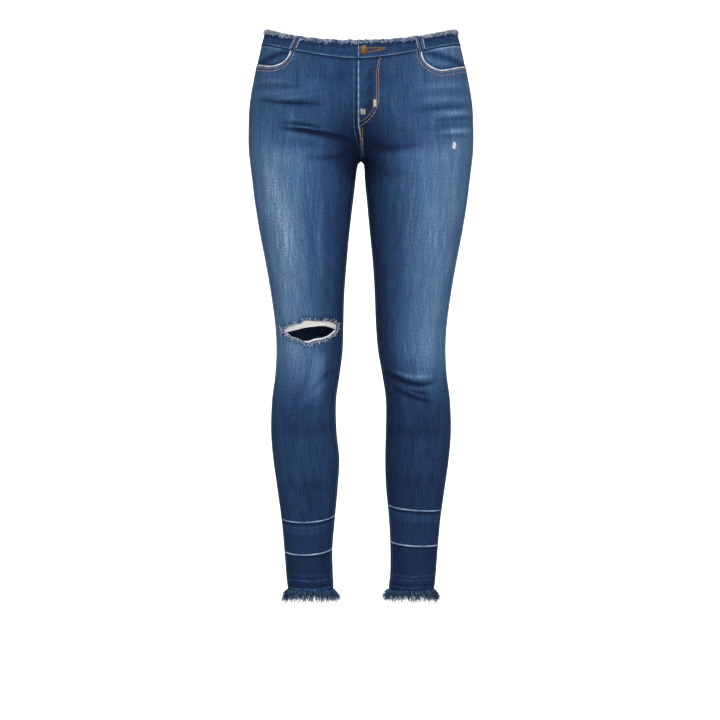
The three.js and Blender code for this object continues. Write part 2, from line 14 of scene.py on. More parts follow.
import bmesh
import bpy
import numpy as np
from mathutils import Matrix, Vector

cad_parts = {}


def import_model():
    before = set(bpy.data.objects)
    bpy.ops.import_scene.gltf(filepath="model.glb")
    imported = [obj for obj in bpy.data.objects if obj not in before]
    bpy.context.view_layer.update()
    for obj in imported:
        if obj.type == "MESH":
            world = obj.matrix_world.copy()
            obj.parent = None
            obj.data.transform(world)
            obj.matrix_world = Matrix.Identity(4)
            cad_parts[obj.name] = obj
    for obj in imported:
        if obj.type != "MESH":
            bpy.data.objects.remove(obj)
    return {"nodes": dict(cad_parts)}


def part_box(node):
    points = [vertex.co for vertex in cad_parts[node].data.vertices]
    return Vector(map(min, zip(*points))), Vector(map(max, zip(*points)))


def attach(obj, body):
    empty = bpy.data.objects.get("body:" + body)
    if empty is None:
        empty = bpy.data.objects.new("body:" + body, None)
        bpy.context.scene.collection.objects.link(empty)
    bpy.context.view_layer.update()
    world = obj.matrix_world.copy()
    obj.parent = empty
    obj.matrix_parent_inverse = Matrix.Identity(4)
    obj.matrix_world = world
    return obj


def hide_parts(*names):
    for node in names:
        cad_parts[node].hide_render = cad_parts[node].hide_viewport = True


MM = 0.001
UP = np.array([0.0, 0.0, 1.0])
LOG = logging.getLogger("jeans")
Array = np.ndarray
Seam = Callable[[Array], Array]
Piece = bpy.types.Object


class Face(Enum):
    """Which face of the garment."""

    FRONT = -1.0
    BACK = 1.0


class Side(Enum):
    """Which of the wearer's sides."""

    LEFT = 1.0
    RIGHT = -1.0


def smooth(value: Array, low: float, high: float) -> Array:
    """Smooth step from 0 at low to 1 at high."""
    share = np.clip((np.asarray(value, float) - low) / (high - low), 0.0, 1.0)
    return share * share * (3.0 - 2.0 * share)


def mix(first: Array, second: Array, share: Array) -> Array:
    """Straight blend of two values."""
    return first + (second - first) * share


def unit(vectors: Array) -> Array:
    """Vectors scaled to length 1."""
    return vectors / np.maximum(np.linalg.norm(vectors, axis=-1, keepdims=True), 1e-12)


def fade(distance: Array, reach: float) -> Array:
    """1 at no distance, falling softly away over reach."""
    return np.exp(-((distance / reach) ** 2))


def spread(count: int) -> Array:
    """Even steps from 0 to 1."""
    return np.linspace(0.0, 1.0, count + 1)


def spline(points: Sequence[Sequence[float]], per_span: int = 8) -> Array:
    """A smooth line through points, ends included.

    Args:
        points: places that the line goes through.
        per_span: how many steps each span is cut into.

    Returns:
        The line's points, one row each.
    """
    p = np.asarray(points, float)
    p = np.vstack([2 * p[0] - p[1], p, 2 * p[-1] - p[-2]])
    t = (np.arange(per_span) / per_span)[:, None]
    spans = []
    for a, b, c, d in zip(p[:-3], p[1:-2], p[2:-1], p[3:]):
        spans.append(0.5 * (2 * b + (c - a) * t + (2 * a - 5 * b + 4 * c - d) * t**2
                            + (3 * b - a - 3 * c + d) * t**3))
    return np.vstack(spans + [p[-2][None]])


def even_points(line: Array, pitch: float) -> Array:
    """The line cut anew into equal steps of about pitch."""
    run = np.concatenate([[0.0], np.cumsum(np.linalg.norm(np.diff(line, axis=0), axis=1))])
    count = max(int(round(run[-1] / pitch)), 1)
    at = np.linspace(0.0, run[-1], count + 1)
    return np.column_stack([np.interp(at, run, line[:, k]) for k in range(line.shape[1])])


# ------------------------------------------------------------------ the form under the cloth


@dataclass(frozen=True)
class Figure:
    """The filled-out form of the garment, the same as the frame's."""

    crotch_z: float = -188.0
    round_front: float = 80.0
    round_back: float = 95.0
    thigh_merge: float = 130.0
    crotch_spread: float = 70.0
    fan_height: float = 25.0
    bridge: float = 8.0
    bridge_from: float = 30.0
    bridge_to: float = 100.0
    front_turn: float = 5.5
    fly_foot_z: float = -138.0
    gap: float = 0.3
    hip_arc: float = 235.0
    knee_arc: float = 190.0
    hips: tuple = (
        (30, 99, 103), (0, 104, 109), (-50, 109, 118), (-100, 111, 125), (-140, 109, 124),
        (-190, 102, 113), (-260, 94, 98), (-300, 90, 92),
    )
    legs: tuple = (
        (30, 150, 0.4, 0.4, 0, 95), (0, 158.4, 0.4, 0.4, 0, 95), (-50, 169.5, 0.4, 0.4, 0, 94),
        (-100, 177.8, 0.4, 0.4, 0, 93), (-140, 179.4, 0.4, 0.4, -3, 92),
        (-170, 179, 0.4, 0.4, -6, 91), (-188, 177.2, 0.4, 0.4, -7, 90),
        (-193, 176.6, 4.6, 5, -7.4, 89.5), (-218, 173.4, 6.6, 9, -9, 88),
        (-250, 169.4, 10, 13, -10, 85), (-300, 161.4, 14.6, 19, -10, 79),
        (-350, 151.8, 19.6, 23.6, -9, 73.5), (-400, 143.2, 22.6, 27.4, -7, 67.5),
        (-450, 136.6, 24.6, 28.8, -4, 61.5), (-490, 134.8, 28, 30, 0, 58),
        (-530, 137, 35, 35, 5, 56), (-570, 142.2, 40.6, 40.6, 9, 57),
        (-620, 144, 40.6, 40, 14, 59), (-665, 140.6, 39.6, 35.6, 17, 57),
        (-710, 134.4, 41, 38, 18, 53), (-760, 127.6, 45.6, 42.6, 18, 48),
        (-810, 123, 48, 46.6, 19, 44), (-850, 120, 47.6, 46, 20, 42),
        (-874, 117.6, 45, 44.6, 20, 42), (-905, 114, 44, 44, 20, 42),
    )

    @staticmethod
    def station(table: tuple, column: int, z: Array) -> Array:
        """Smooth value of one column of a table of heights.

        Args:
            table: rows that start with a height, from the top down.
            column: which value of the rows.
            z: heights to read.

        Returns:
            The value at each height.
        """
        rows = np.asarray(table, float)
        heights, values = rows[:, 0], rows[:, column]
        last = len(heights) - 1
        z = np.asarray(z, float)
        i = np.clip(np.searchsorted(-heights, -z, side="left") - 1, 0, last - 1)
        low, high = np.maximum(np.arange(last + 1) - 1, 0), np.minimum(np.arange(last + 1) + 1, last)
        slopes = (values[high] - values[low]) / (heights[high] - heights[low])
        span = heights[i + 1] - heights[i]
        s = np.clip((z - heights[i]) / span, 0.0, 1.0)
        s2, s3 = s * s, s * s * s
        return ((2 * s3 - 3 * s2 + 1) * values[i] + (s3 - 2 * s2 + s) * slopes[i] * span
                + (3 * s2 - 2 * s3) * values[i + 1] + (s3 - s2) * slopes[i + 1] * span)

    def surface(self, face: Array, turn: Array, z: Array) -> Array:
        """Points of the form.

        Args:
            face: -1 for the front, 1 for the back.
            turn: from -1 (right outseam) over 0 (centre or inseam) to 1 (left outseam).
            z: heights.

        Returns:
            The points, one in each last row.
        """
        face, turn, z = np.broadcast_arrays(*(np.asarray(v, float) for v in (face, turn, z)))
        side, t, above = np.where(turn < 0, -1.0, 1.0), np.abs(turn), z - self.crotch_z
        outer = self.station(self.legs, 1, z)
        inner = np.where(side > 0, self.station(self.legs, 2, z), self.station(self.legs, 3, z))
        aligned = np.arccos(1 - 2 * np.minimum(np.sin(np.pi / 2 * t), 1.0)) / np.pi
        ring = mix(t, aligned, smooth(above, 0, self.fan_height)) * np.pi
        x = (outer + inner) / 2 - (outer - inner) / 2 * np.cos(ring)
        depth = face * self.station(self.legs, 4, z) + self.station(self.legs, 5, z) * np.sin(ring)
        hip_depth = np.where(face < 0, self.station(self.hips, 1, z), self.station(self.hips, 2, z))
        hip = hip_depth * np.sqrt(np.maximum(1 - (x / outer) ** 2, 0.0))
        rise = 1 - np.clip(above / np.where(face < 0, self.round_front, self.round_back), 0.0, 1.0)
        reach = 1 - smooth(x, self.bridge_from, self.bridge_to)
        bridge = np.minimum(hip_depth * np.sqrt(1 - rise * rise), hip) * reach
        p = self.bridge
        bridged = (np.maximum(depth, 0.0) ** p + bridge**p) ** (1 / p)
        depth = np.where(above > 0, bridged, depth)
        joined = smooth(above, -self.thigh_merge, self.thigh_merge)
        share = joined * smooth(x, 0.0, self.crotch_spread)
        share = mix(share, 1.0, smooth(above, 0.0, self.thigh_merge))
        return np.stack([side * x, face * mix(depth, hip, share), z], axis=-1)

    def front_shift(self, z: Array) -> Array:
        """Turn of the centre front seam at heights z."""
        turned = smooth(z, self.crotch_z + 15, self.fly_foot_z)
        return -(2 / np.pi) * np.arcsin(self.front_turn / self.station(self.legs, 1, z)) * turned

    def cloth(self, side: Array, face: Array, q: Array, z: Array) -> tuple[Array, Array]:
        """Points of the smooth cloth and the directions that it faces.

        Args:
            side: 1 for the wearer's left, -1 for the right.
            face: -1 for the front, 1 for the back.
            q: from the centre seam or inseam (0) to the outseam (1).
            z: heights.

        Returns:
            Points and unit normals.
        """
        side, face, q, z = np.broadcast_arrays(*(np.asarray(v, float) for v in (side, face, q, z)))
        turn = side * q + np.where(face < 0, self.front_shift(z) * (1 - q * q), 0.0)
        turn = np.where(np.abs(turn) < 1e-6, 1e-6 * side, turn)
        step = np.where(turn < 0, -0.015, 0.015) * np.where(np.abs(turn) < 0.5, 1.0, -1.0)
        here = self.surface(face, turn, z)
        across = (self.surface(face, turn + step, z) - here) * np.sign(step)[..., None]
        up = self.surface(face, turn, z + 0.5) - self.surface(face, turn, z - 0.5)
        return here, unit(np.cross(across, up)) * -face[..., None]

    def arc(self, z: Array, hip: float) -> Array:
        """How far one panel reaches across at heights z, taken as hip above the crotch."""
        return np.where(z > self.crotch_z, hip, np.pi * self.station(self.legs, 5, z))

    def edge(self, z: Array) -> Array:
        """q that keeps a sewn edge half a gap from its seam."""
        return self.gap / (np.pi * self.station(self.legs, 5, z))

    def q_at(self, side: Side, face: Face, x: Array, z: Array) -> Array:
        """q of the places that lie x from the middle, on the side's own half.

        Args:
            side: which half.
            face: front or back.
            x: distances from the middle, positive on that side.
            z: heights.

        Returns:
            q of each place, at most 1.
        """
        x, z = np.broadcast_arrays(np.asarray(x, float), np.asarray(z, float))
        low, high = np.full(x.shape, -0.2), np.ones(x.shape)
        for _ in range(22):
            middle = (low + high) / 2
            found = self.cloth(side.value, face.value, middle, z)[0][..., 0] * side.value
            low, high = np.where(found < x, middle, low), np.where(found < x, high, middle)
        return high


@dataclass(frozen=True)
class SeamLines:
    """Heights of the seams that run round the garment."""

    waist_front_z: float = -10.0
    waist_side_rise: float = 30.0
    waist_back_z: float = 21.0
    seam_front_z: float = -39.0
    seam_side_rise: float = 36.0
    seam_back_z: float = -8.0
    yoke_side_z: float = -44.0
    yoke_centre_z: float = -76.0
    hem_z: float = -874.0
    left_upper: tuple = (-745, -747, -738)
    left_lower: tuple = (-802, -803, -797)
    right_upper: tuple = (-764, -760, -754)
    right_lower: tuple = (-816, -813, -808)

    def waist_top(self, face: float, q: Array) -> Array:
        """Raw top edge of the waistband."""
        side = self.waist_front_z + self.waist_side_rise
        front = self.waist_front_z + self.waist_side_rise * np.sin(np.pi / 2 * np.abs(q)) ** 2.2
        return np.where(np.asarray(face) > 0, mix(self.waist_back_z, side, q * q), front)

    def waist_seam(self, face: float, q: Array) -> Array:
        """Seam under the waistband."""
        side = self.seam_front_z + self.seam_side_rise
        front = self.seam_front_z + self.seam_side_rise * np.sin(np.pi / 2 * np.abs(q)) ** 1.6
        return np.where(np.asarray(face) > 0, mix(self.seam_back_z, side, q * q), front)

    def yoke(self, q: Array) -> Array:
        """Seam between a yoke and its back panel."""
        return mix(self.yoke_centre_z, self.yoke_side_z, q)

    def leg(self, side: Side, lower: bool, q: Array) -> Array:
        """One of a leg's lower seams, which dips at its middle."""
        if side is Side.LEFT:
            middle, outer, inner = self.left_lower if lower else self.left_upper
        else:
            middle, outer, inner = self.right_lower if lower else self.right_upper
        return mix(inner, outer, q) + (middle - (inner + outer) / 2) * np.sin(np.pi * q)


@dataclass(frozen=True)
class Stroke:
    """A soft line on one face: a crease's depth, how much a wash line lightens, or how much painted shade
    darkens.
    """

    points: tuple
    half: float
    amount: float

    def at(self, x: Array, z: Array, spread: float = 0.8) -> Array:
        """The line's strength at places on the face.

        Args:
            x: distances from the middle, positive to the wearer's left.
            z: heights.
            spread: how wide it is taken, as a share of half.

        Returns:
            The amount at each place, fading to the sides and to both ends.
        """
        line = spline(self.points, 6)
        near = (np.abs(z - line[:, 1].mean()) < 4 * self.half + np.ptp(line[:, 1]) / 2)
        near &= np.abs(x - line[:, 0].mean()) < 4 * self.half + np.ptp(line[:, 0]) / 2
        out = np.zeros(np.shape(x))
        if not near.any():
            return out
        px, pz = x[near], z[near]
        best, along = np.full(px.shape, 1e9), np.zeros(px.shape)
        spans = len(line) - 1
        for k in range(spans):
            (ax, az), (bx, bz) = line[k], line[k + 1]
            dx, dz = bx - ax, bz - az
            s = np.clip(((px - ax) * dx + (pz - az) * dz) / (dx * dx + dz * dz), 0.0, 1.0)
            far = np.hypot(px - ax - s * dx, pz - az - s * dz)
            closer = far < best
            best, along = np.where(closer, far, best), np.where(closer, (k + s) / spans, along)
        taper = np.sin(np.pi * np.clip(along, 0.0, 1.0)) ** 0.7
        out[near] = self.amount * taper * fade(best, spread * self.half)
        return out


FRONT_CREASES = (
    Stroke(((-166, -95), (-125, -103), (-101, -106), (-56, -110)), 5.0, 3.0),
    Stroke(((-128, -135), (-89, -140), (-60, -147)), 3.6, 2.6),
    Stroke(((-118, -141), (-84, -145), (-50, -151)), 3.4, -1.5),
    Stroke(((-128, -143), (-101, -147.5), (-77, -151.7), (-35, -161), (-12, -169)), 4.8, 4.6),
    Stroke(((-128, -152), (-90, -158), (-40, -171)), 8.0, -1.2),
    Stroke(((36, -523), (58, -536), (78, -543), (98, -544.5), (120, -539)), 4.8, 3.8),
    Stroke(((46, -520), (80, -532), (116, -530)), 6.0, -1.8),
    Stroke(((74, -552), (92, -557), (110, -559)), 3.4, 2.0),
    Stroke(((50, -550), (70, -560), (90, -567), (116, -573)), 4.6, 3.0),
    Stroke(((60, -548), (92, -551), (122, -548)), 4.0, -1.0),
    Stroke(((-36, -516), (-58, -534), (-86, -568)), 6.0, 1.2),
    Stroke(((-46, -532), (-72, -556), (-96, -576)), 7.0, -1.0),
    Stroke(((60, -86), (110, -81), (168, -76)), 7.0, 1.0),
    Stroke(((78, -119), (125, -112), (174, -103)), 7.0, 1.4),
    Stroke(((88, -148), (130, -141), (176, -131)), 7.0, 1.2),
    Stroke(((-170, -70), (-130, -75), (-78, -86)), 7.0, 1.0),
    Stroke(((8, -166), (40, -177), (92, -172)), 8.0, 1.8),
    Stroke(((-8, -176), (-40, -190), (-92, -190)), 8.0, 1.6),
    Stroke(((12, -200), (36, -214), (84, -216)), 9.0, 1.0),
    Stroke(((70, -230), (60, -330), (64, -420)), 9.0, 0.7),
    Stroke(((-84, -236), (-74, -330), (-78, -410)), 9.0, 0.7),
    Stroke(((40, -612), (84, -622), (132, -616)), 12.0, 1.1),
    Stroke(((-40, -606), (-84, -618), (-132, -612)), 12.0, 1.0),
    Stroke(((48, -690), (84, -700), (126, -694)), 12.0, 0.8),
    Stroke(((-46, -700), (-84, -708), (-124, -702)), 12.0, 0.8),
    Stroke(((10, -58), (34, -70), (60, -72)), 8.0, 0.8),
    Stroke(((-14, -62), (-44, -70), (-80, -66)), 8.0, 0.8),
)

BACK_CREASES = (
    Stroke(((36, -500), (74, -508), (126, -500)), 5.0, 3.2),
    Stroke(((40, -522), (80, -527), (124, -520)), 4.6, 2.6),
    Stroke(((46, -484), (84, -486), (128, -480)), 5.0, 2.0),
    Stroke(((44, -540), (84, -546), (126, -542)), 5.0, 1.8),
    Stroke(((40, -511), (80, -517), (126, -510)), 4.4, -1.4),
    Stroke(((-36, -502), (-74, -510), (-126, -504)), 5.0, 3.2),
    Stroke(((-40, -524), (-80, -529), (-124, -524)), 4.6, 2.4),
    Stroke(((-46, -486), (-84, -489), (-128, -484)), 5.0, 2.0),
    Stroke(((-42, -542), (-84, -549), (-126, -545)), 5.0, 1.8),
    Stroke(((-40, -513), (-80, -519), (-126, -514)), 4.4, -1.4),
    Stroke(((28, -206), (80, -216), (150, -198)), 8.0, 3.0),
    Stroke(((-28, -208), (-80, -218), (-150, -200)), 8.0, 3.0),
    Stroke(((30, -226), (76, -236), (128, -228)), 7.0, 1.8),
    Stroke(((-30, -228), (-76, -240), (-128, -232)), 7.0, 1.8),
    Stroke(((6, -150), (30, -178), (52, -200)), 6.0, 1.6),
    Stroke(((-6, -150), (-30, -180), (-52, -202)), 6.0, 1.6),
    Stroke(((150, -110), (164, -150), (158, -196)), 9.0, 1.0),
    Stroke(((-150, -110), (-164, -150), (-158, -196)), 9.0, 1.0),
    Stroke(((44, -640), (84, -650), (128, -642)), 12.0, 1.2),
    Stroke(((-44, -636), (-84, -646), (-128, -640)), 12.0, 1.2),
    Stroke(((48, -712), (84, -720), (122, -714)), 11.0, 1.0),
    Stroke(((-48, -716), (-84, -724), (-122, -718)), 11.0, 1.0),
)

FRONT_FADES_AND_SHADE = (
    Stroke(((72, -86), (120, -78), (172, -70)), 7.0, 0.18),
    Stroke(((84, -104), (130, -98), (176, -92)), 6.0, 0.12),
    Stroke(((110, -122), (146, -118), (178, -112)), 6.0, 0.20),
    Stroke(((112, -133), (146, -127), (178, -120)), 3.5, -0.15),
    Stroke(((120, -150), (150, -146), (178, -140)), 5.0, 0.18),
    Stroke(((110, -160), (146, -154), (178, -150)), 3.5, -0.12),
    Stroke(((-172, -66), (-140, -68), (-96, -76)), 5.0, 0.15),
    Stroke(((-172, -84), (-130, -88), (-60, -84)), 5.0, 0.12),
    Stroke(((-150, -98), (-110, -97), (-50, -92)), 4.5, 0.12),
    Stroke(((-110, -118), (-106, -128), (-104, -138)), 4.0, 0.15),
    Stroke(((-58, -64), (-70, -74), (-100, -82)), 10.0, 0.07),
    Stroke(((-60, -492), (-66, -512), (-70, -545), (-72, -580)), 17.0, 0.24),
    Stroke(((-150, -180), (-118, -300), (-100, -430)), 17.0, 0.10),
    Stroke(((112, -200), (112, -320), (102, -470)), 14.0, 0.02),
    # Painted shade over the fly, beside its folded edge.
    Stroke(((11, -44), (13, -85), (11, -134)), 9.0, -0.16),
    Stroke(((16, -50), (9, -56), (5, -66)), 3.0, 0.12),
    Stroke(((17, -74), (10, -80), (6, -90)), 3.0, 0.10),
    Stroke(((18, -96), (11, -103), (6, -112)), 3.0, 0.10),
    Stroke(((48, -90), (50, -110), (52, -130)), 3.0, 0.10),
    Stroke(((-60, -240), (-66, -320), (-62, -380)), 5.0, 0.09),
    Stroke(((146, -163), (146.2, -169), (146, -176)), 3.4, 0.25),
    Stroke(((54, -776), (84, -779), (112, -777)), 2.4, 0.20),
    Stroke(((60, -785), (84, -788), (106, -786)), 2.0, 0.12),
    Stroke(((-54, -786), (-84, -790), (-110, -787)), 2.6, 0.12),
    Stroke(((-60, -795), (-84, -797), (-104, -795)), 2.0, 0.10),
)

BACK_FADES = (
    Stroke(((70, -96), (84, -150), (84, -190)), 30.0, 0.16),
    Stroke(((-70, -96), (-84, -150), (-84, -190)), 30.0, 0.16),
    Stroke(((86, -230), (88, -340), (84, -450)), 26.0, 0.16),
    Stroke(((-86, -230), (-88, -340), (-84, -450)), 26.0, 0.16),
    Stroke(((44, -494), (84, -498), (122, -492)), 3.5, 0.14),
    Stroke(((44, -516), (84, -519), (122, -514)), 3.5, 0.14),
    Stroke(((-44, -496), (-84, -500), (-122, -495)), 3.5, 0.14),
    Stroke(((-44, -518), (-84, -522), (-122, -518)), 3.5, 0.14),
    Stroke(((84, -560), (90, -620), (86, -690)), 24.0, 0.08),
    Stroke(((-84, -560), (-90, -620), (-86, -690)), 24.0, 0.08),
)


@dataclass(frozen=True)
class WearAndShade:
    """How worn the denim is over the garment: its creases, its wash and painted shade, as tones from 0 to
    1.
    """

    hip: tuple = (0.26, 0.33, 0.37, 0.42, 0.45, 0.48, 0.43)
    thigh: tuple = (0.09, 0.15, 0.32, 0.54, 0.65, 0.59, 0.46)
    shin: tuple = (0.14, 0.19, 0.24, 0.26, 0.27, 0.25, 0.22)
    seat: tuple = (0.26, 0.36, 0.42, 0.44, 0.42, 0.40, 0.36)
    hamstring: tuple = (0.16, 0.26, 0.36, 0.40, 0.40, 0.36, 0.30)
    crotch_dye_and_shade: float = 0.22
    relief_light_and_shade: float = 0.060
    sharp_from: float = 1.4
    crease_line_light_and_shade: float = 0.055

    def relief(self, face: float, x: Array, z: Array) -> Array:
        """How deep the cloth is pressed in at places on one face."""
        strokes = FRONT_CREASES if face < 0 else BACK_CREASES
        return 1.25 * sum(stroke.at(x, z) for stroke in strokes)

    def tone(self, face: float, q: Array, x: Array, z: Array) -> Array:
        """Tone of the washed denim, with painted shade in its creases and between the legs.

        Args:
            face: -1 for the front, 1 for the back.
            q: from the centre seam or inseam (0) to the outseam (1).
            x: distances from the middle.
            z: heights.

        Returns:
            0 for deep navy up to 1 for the palest blue.
        """
        knots = np.linspace(0.0, 1.0, len(self.hip))

        def profile(values: tuple) -> Array:
            """A row of tones read at q and evened out.

            Args:
                values: tones at even steps from the middle to the outseam.

            Returns:
                The tones.
            """
            spread = np.linspace(-0.07, 0.07, 5)
            return sum(np.interp(np.clip(q + s, 0, 1), knots, values) for s in spread) / 5

        top, middle = (self.hip, self.thigh) if face < 0 else (self.seat, self.hamstring)
        tone = mix(profile(middle), profile(top), smooth(z, -205.0, -120.0))
        tone = mix(profile(self.shin), tone, smooth(z, -600.0, -485.0))
        if face < 0:
            tone = tone + 0.05 * smooth(x, 45.0, 100.0) * smooth(z, -200.0, -150.0)
            # Painted light: the right leg's inner thigh is lit a little more than the left's.
            inner = (1 - smooth(q, 0.2, 0.45)) * (1 - smooth(z, -230.0, -190.0))
            tone = tone + np.where(x < 0, 0.06, -0.01) * inner
            tone = tone - 0.05 * smooth(x, 0.0, 30.0) * (1 - smooth(z, -600.0, -500.0))
        # Darker between the legs: partly the less worn dye, partly painted shade.
        middle_dye_and_shade = fade(x, 42.0) * smooth(z, -250, -185) * (1 - smooth(z, -150, -90))
        tone = tone - self.crotch_dye_and_shade * middle_dye_and_shade - 0.05 * smooth(-z, 640.0, 760.0)
        for stroke in FRONT_FADES_AND_SHADE if face < 0 else BACK_FADES:
            tone = tone + stroke.at(x, z)
        # Thin lines of painted shade along the sharp creases, and of painted light along the sharp
        # ridges.
        for stroke in FRONT_CREASES if face < 0 else BACK_CREASES:
            if abs(stroke.amount) >= self.sharp_from:
                tone = tone - self.crease_line_light_and_shade * stroke.at(x, z, 0.38)
        # Painted shade in the creases' troughs and painted light on their ridges, by how far the cloth is
        # pressed in.
        return tone - self.relief_light_and_shade * self.relief(face, x, z)


# ------------------------------------------------------------------ finishes


TONES = (
    (0.00, (0.007, 0.015, 0.044)),
    (0.15, (0.011, 0.026, 0.072)),
    (0.30, (0.019, 0.050, 0.122)),
    (0.42, (0.032, 0.077, 0.170)),
    (0.56, (0.060, 0.127, 0.245)),
    (0.70, (0.116, 0.206, 0.340)),
    (0.84, (0.300, 0.430, 0.600)),
    (1.00, (0.780, 0.820, 0.850)),
)
TONE_REACH = 1.25


class NodeSheet:
    """Adds and joins the nodes of one tree."""

    def __init__(self, tree: bpy.types.NodeTree) -> None:
        """Starts on an empty tree.

        Args:
            tree: the node tree to fill.
        """
        self.tree = tree
        tree.nodes.clear()

    def add(self, kind: str, **settings: object) -> bpy.types.Node:
        """Adds a node; settings are its own properties."""
        node = self.tree.nodes.new(kind)
        for name, value in settings.items():
            setattr(node, name, value)
        return node

    def feed(self, node: bpy.types.Node, **values: object) -> bpy.types.Node:
        """Sets or joins inputs by name, with _ for a space.

        Args:
            node: the node to feed.
            values: a number, a vector, a material or the socket that each input takes.

        Returns:
            The same node.
        """
        for name, value in values.items():
            socket = node.inputs[name.replace("_", " ")]
            if isinstance(value, bpy.types.NodeSocket):
                self.tree.links.new(value, socket)
            else:
                socket.default_value = value
        return node

    def math(self, operation: str, first: object, second: object = 0.0) -> bpy.types.NodeSocket:
        """A sum, product or the like of two numbers."""
        node = self.add("ShaderNodeMath", operation=operation)
        for socket, value in zip(node.inputs, (first, second)):
            if isinstance(value, bpy.types.NodeSocket):
                self.tree.links.new(value, socket)
            else:
                socket.default_value = value
        return node.outputs[0]

    def blend(self, dark: tuple, light: tuple, share: bpy.types.NodeSocket) -> bpy.types.NodeSocket:
        """A colour between dark and light."""
        ramp = self.add("ShaderNodeValToRGB")
        ramp.color_ramp.elements[0].color = (*dark, 1.0)
        ramp.color_ramp.elements[1].color = (*light, 1.0)
        return self.feed(ramp, Fac=share).outputs[0]


def node_group(name: str, kind: str, inputs: dict[str, str],
               outputs: dict[str, str]) -> bpy.types.NodeTree:
    """An empty node group with named sockets.

    Args:
        name: the group's name.
        kind: the sort of tree.
        inputs: each input's name and sort, such as Float.
        outputs: each output's name and sort.

    Returns:
        The group.
    """
    tree = bpy.data.node_groups.new(name, kind)
    for way, sockets in (("INPUT", inputs), ("OUTPUT", outputs)):
        for title, sort in sockets.items():
            tree.interface.new_socket(title, in_out=way, socket_type="NodeSocket" + sort)
    return tree


class DenimWeave:
    """The twill and the uneven yarn that every denim finish shares, as one node group."""

    NAME = "denim_weave"

    @classmethod
    def group(cls) -> bpy.types.NodeTree:
        """The group, made once.

        Returns:
            A shader group from cloth coordinates in metres to Slub, Fleck and Height.
        """
        found = bpy.data.node_groups.get(cls.NAME)
        if found:
            return found
        tree = node_group(cls.NAME, "ShaderNodeTree", {"Vector": "Vector"},
                          {"Slub": "Float", "Fleck": "Float", "Height": "Float"})
        sheet = NodeSheet(tree)
        source = sheet.add("NodeGroupInput").outputs["Vector"]
        yarns = []
        for scale, detail in (((560.0, 24.0, 1.0), 2.0), ((1000.0, 50.0, 1.0), 1.0),
                              ((70.0, 9.0, 1.0), 2.0)):
            stretched = sheet.add("ShaderNodeMapping")
            sheet.feed(stretched, Vector=source, Scale=scale)
            noise = sheet.add("ShaderNodeTexNoise")
            sheet.feed(noise, Vector=stretched.outputs[0], Scale=1.0, Detail=detail, Roughness=0.6)
            yarns.append(noise.outputs[0])
        fine = sheet.math("ADD", sheet.math("MULTIPLY", yarns[0], 0.45),
                          sheet.math("MULTIPLY", yarns[1], 0.25))
        slub = sheet.math("ADD", fine, sheet.math("MULTIPLY", yarns[2], 0.30))
        grain = sheet.add("ShaderNodeTexNoise")
        sheet.feed(grain, Vector=source, Scale=480.0, Detail=1.0, Roughness=0.7)
        turned = sheet.add("ShaderNodeMapping")
        sheet.feed(turned, Vector=source, Rotation=(0.0, 0.0, math.radians(-27.0)))
        twill = sheet.add("ShaderNodeTexWave", wave_type="BANDS", bands_direction="X")
        sheet.feed(twill, Vector=turned.outputs[0], Scale=230.0, Distortion=1.2, Detail=1.0)
        height = sheet.math("ADD", sheet.math("MULTIPLY", twill.outputs[1], 0.5), slub)
        out = sheet.add("NodeGroupOutput")
        sheet.feed(out, Slub=slub, Fleck=grain.outputs[0], Height=height)
        return tree


@dataclass(frozen=True)
class Finish:
    """What a piece is made of; its tones come from the piece's own tone attribute."""

    name: str

    def material(self) -> bpy.types.Material:
        """The finish, made once."""
        found = bpy.data.materials.get(self.name)
        if found:
            return found
        material = bpy.data.materials.new(self.name)
        material.use_nodes = True
        sheet = NodeSheet(material.node_tree)
        tone = sheet.add("ShaderNodeAttribute", attribute_name="tone").outputs["Fac"]
        shader = sheet.add("ShaderNodeBsdfPrincipled")
        self.shade(sheet, tone, shader)
        sheet.feed(sheet.add("ShaderNodeOutputMaterial"), Surface=shader.outputs[0])
        return material

    def shade(self, sheet: NodeSheet, tone: bpy.types.NodeSocket, shader: bpy.types.Node) -> None:
        """Feeds the shader; each sort of finish does it in its own way."""
        raise NotImplementedError


@dataclass(frozen=True)
class Denim(Finish):
    """Washed indigo denim."""

    slub: float = 0.80
    fleck: float = 0.50
    roughness: float = 0.9
    specular: float = 0.08
    bump: float = 0.5

    def shade(self, sheet: NodeSheet, tone: bpy.types.NodeSocket, shader: bpy.types.Node) -> None:
        """Sets the wash, the yarn's unevenness and the twill.

        Args:
            sheet: where nodes are added.
            tone: the piece's own tone.
            shader: the shader to feed.
        """
        where = sheet.add("ShaderNodeUVMap", uv_map="cloth")
        weave = sheet.add("ShaderNodeGroup", node_tree=DenimWeave.group())
        sheet.feed(weave, Vector=where.outputs[0])
        slub = sheet.math("MULTIPLY", sheet.math("SUBTRACT", weave.outputs["Slub"], 0.5), self.slub)
        fleck = sheet.math("MULTIPLY", sheet.math("SUBTRACT", weave.outputs["Fleck"], 0.5),
                           self.fleck)
        worn = sheet.math("ADD", sheet.math("ADD", tone, slub), fleck)
        ramp = sheet.add("ShaderNodeValToRGB")
        self.fill(ramp.color_ramp)
        sheet.feed(ramp, Fac=sheet.math("MULTIPLY", worn, 1.0 / TONE_REACH))
        bump = sheet.add("ShaderNodeBump")
        sheet.feed(bump, Height=weave.outputs["Height"], Strength=self.bump, Distance=0.0006)
        rough = sheet.math("ADD", sheet.math("MULTIPLY", weave.outputs["Fleck"], 0.1),
                           self.roughness - 0.05)
        sheet.feed(shader, Base_Color=ramp.outputs[0], Roughness=rough, Normal=bump.outputs[0],
                   Specular_IOR_Level=self.specular)

    @staticmethod
    def fill(ramp: bpy.types.ColorRamp) -> None:
        """Lays the tones from deep navy to undyed white along a ramp."""
        while len(ramp.elements) > 1:
            ramp.elements.remove(ramp.elements[-1])
        ramp.elements[0].position = 0.0
        ramp.elements[0].color = (*TONES[0][1], 1.0)
        for place, colour in TONES[1:]:
            ramp.elements.new(place / TONE_REACH).color = (*colour, 1.0)


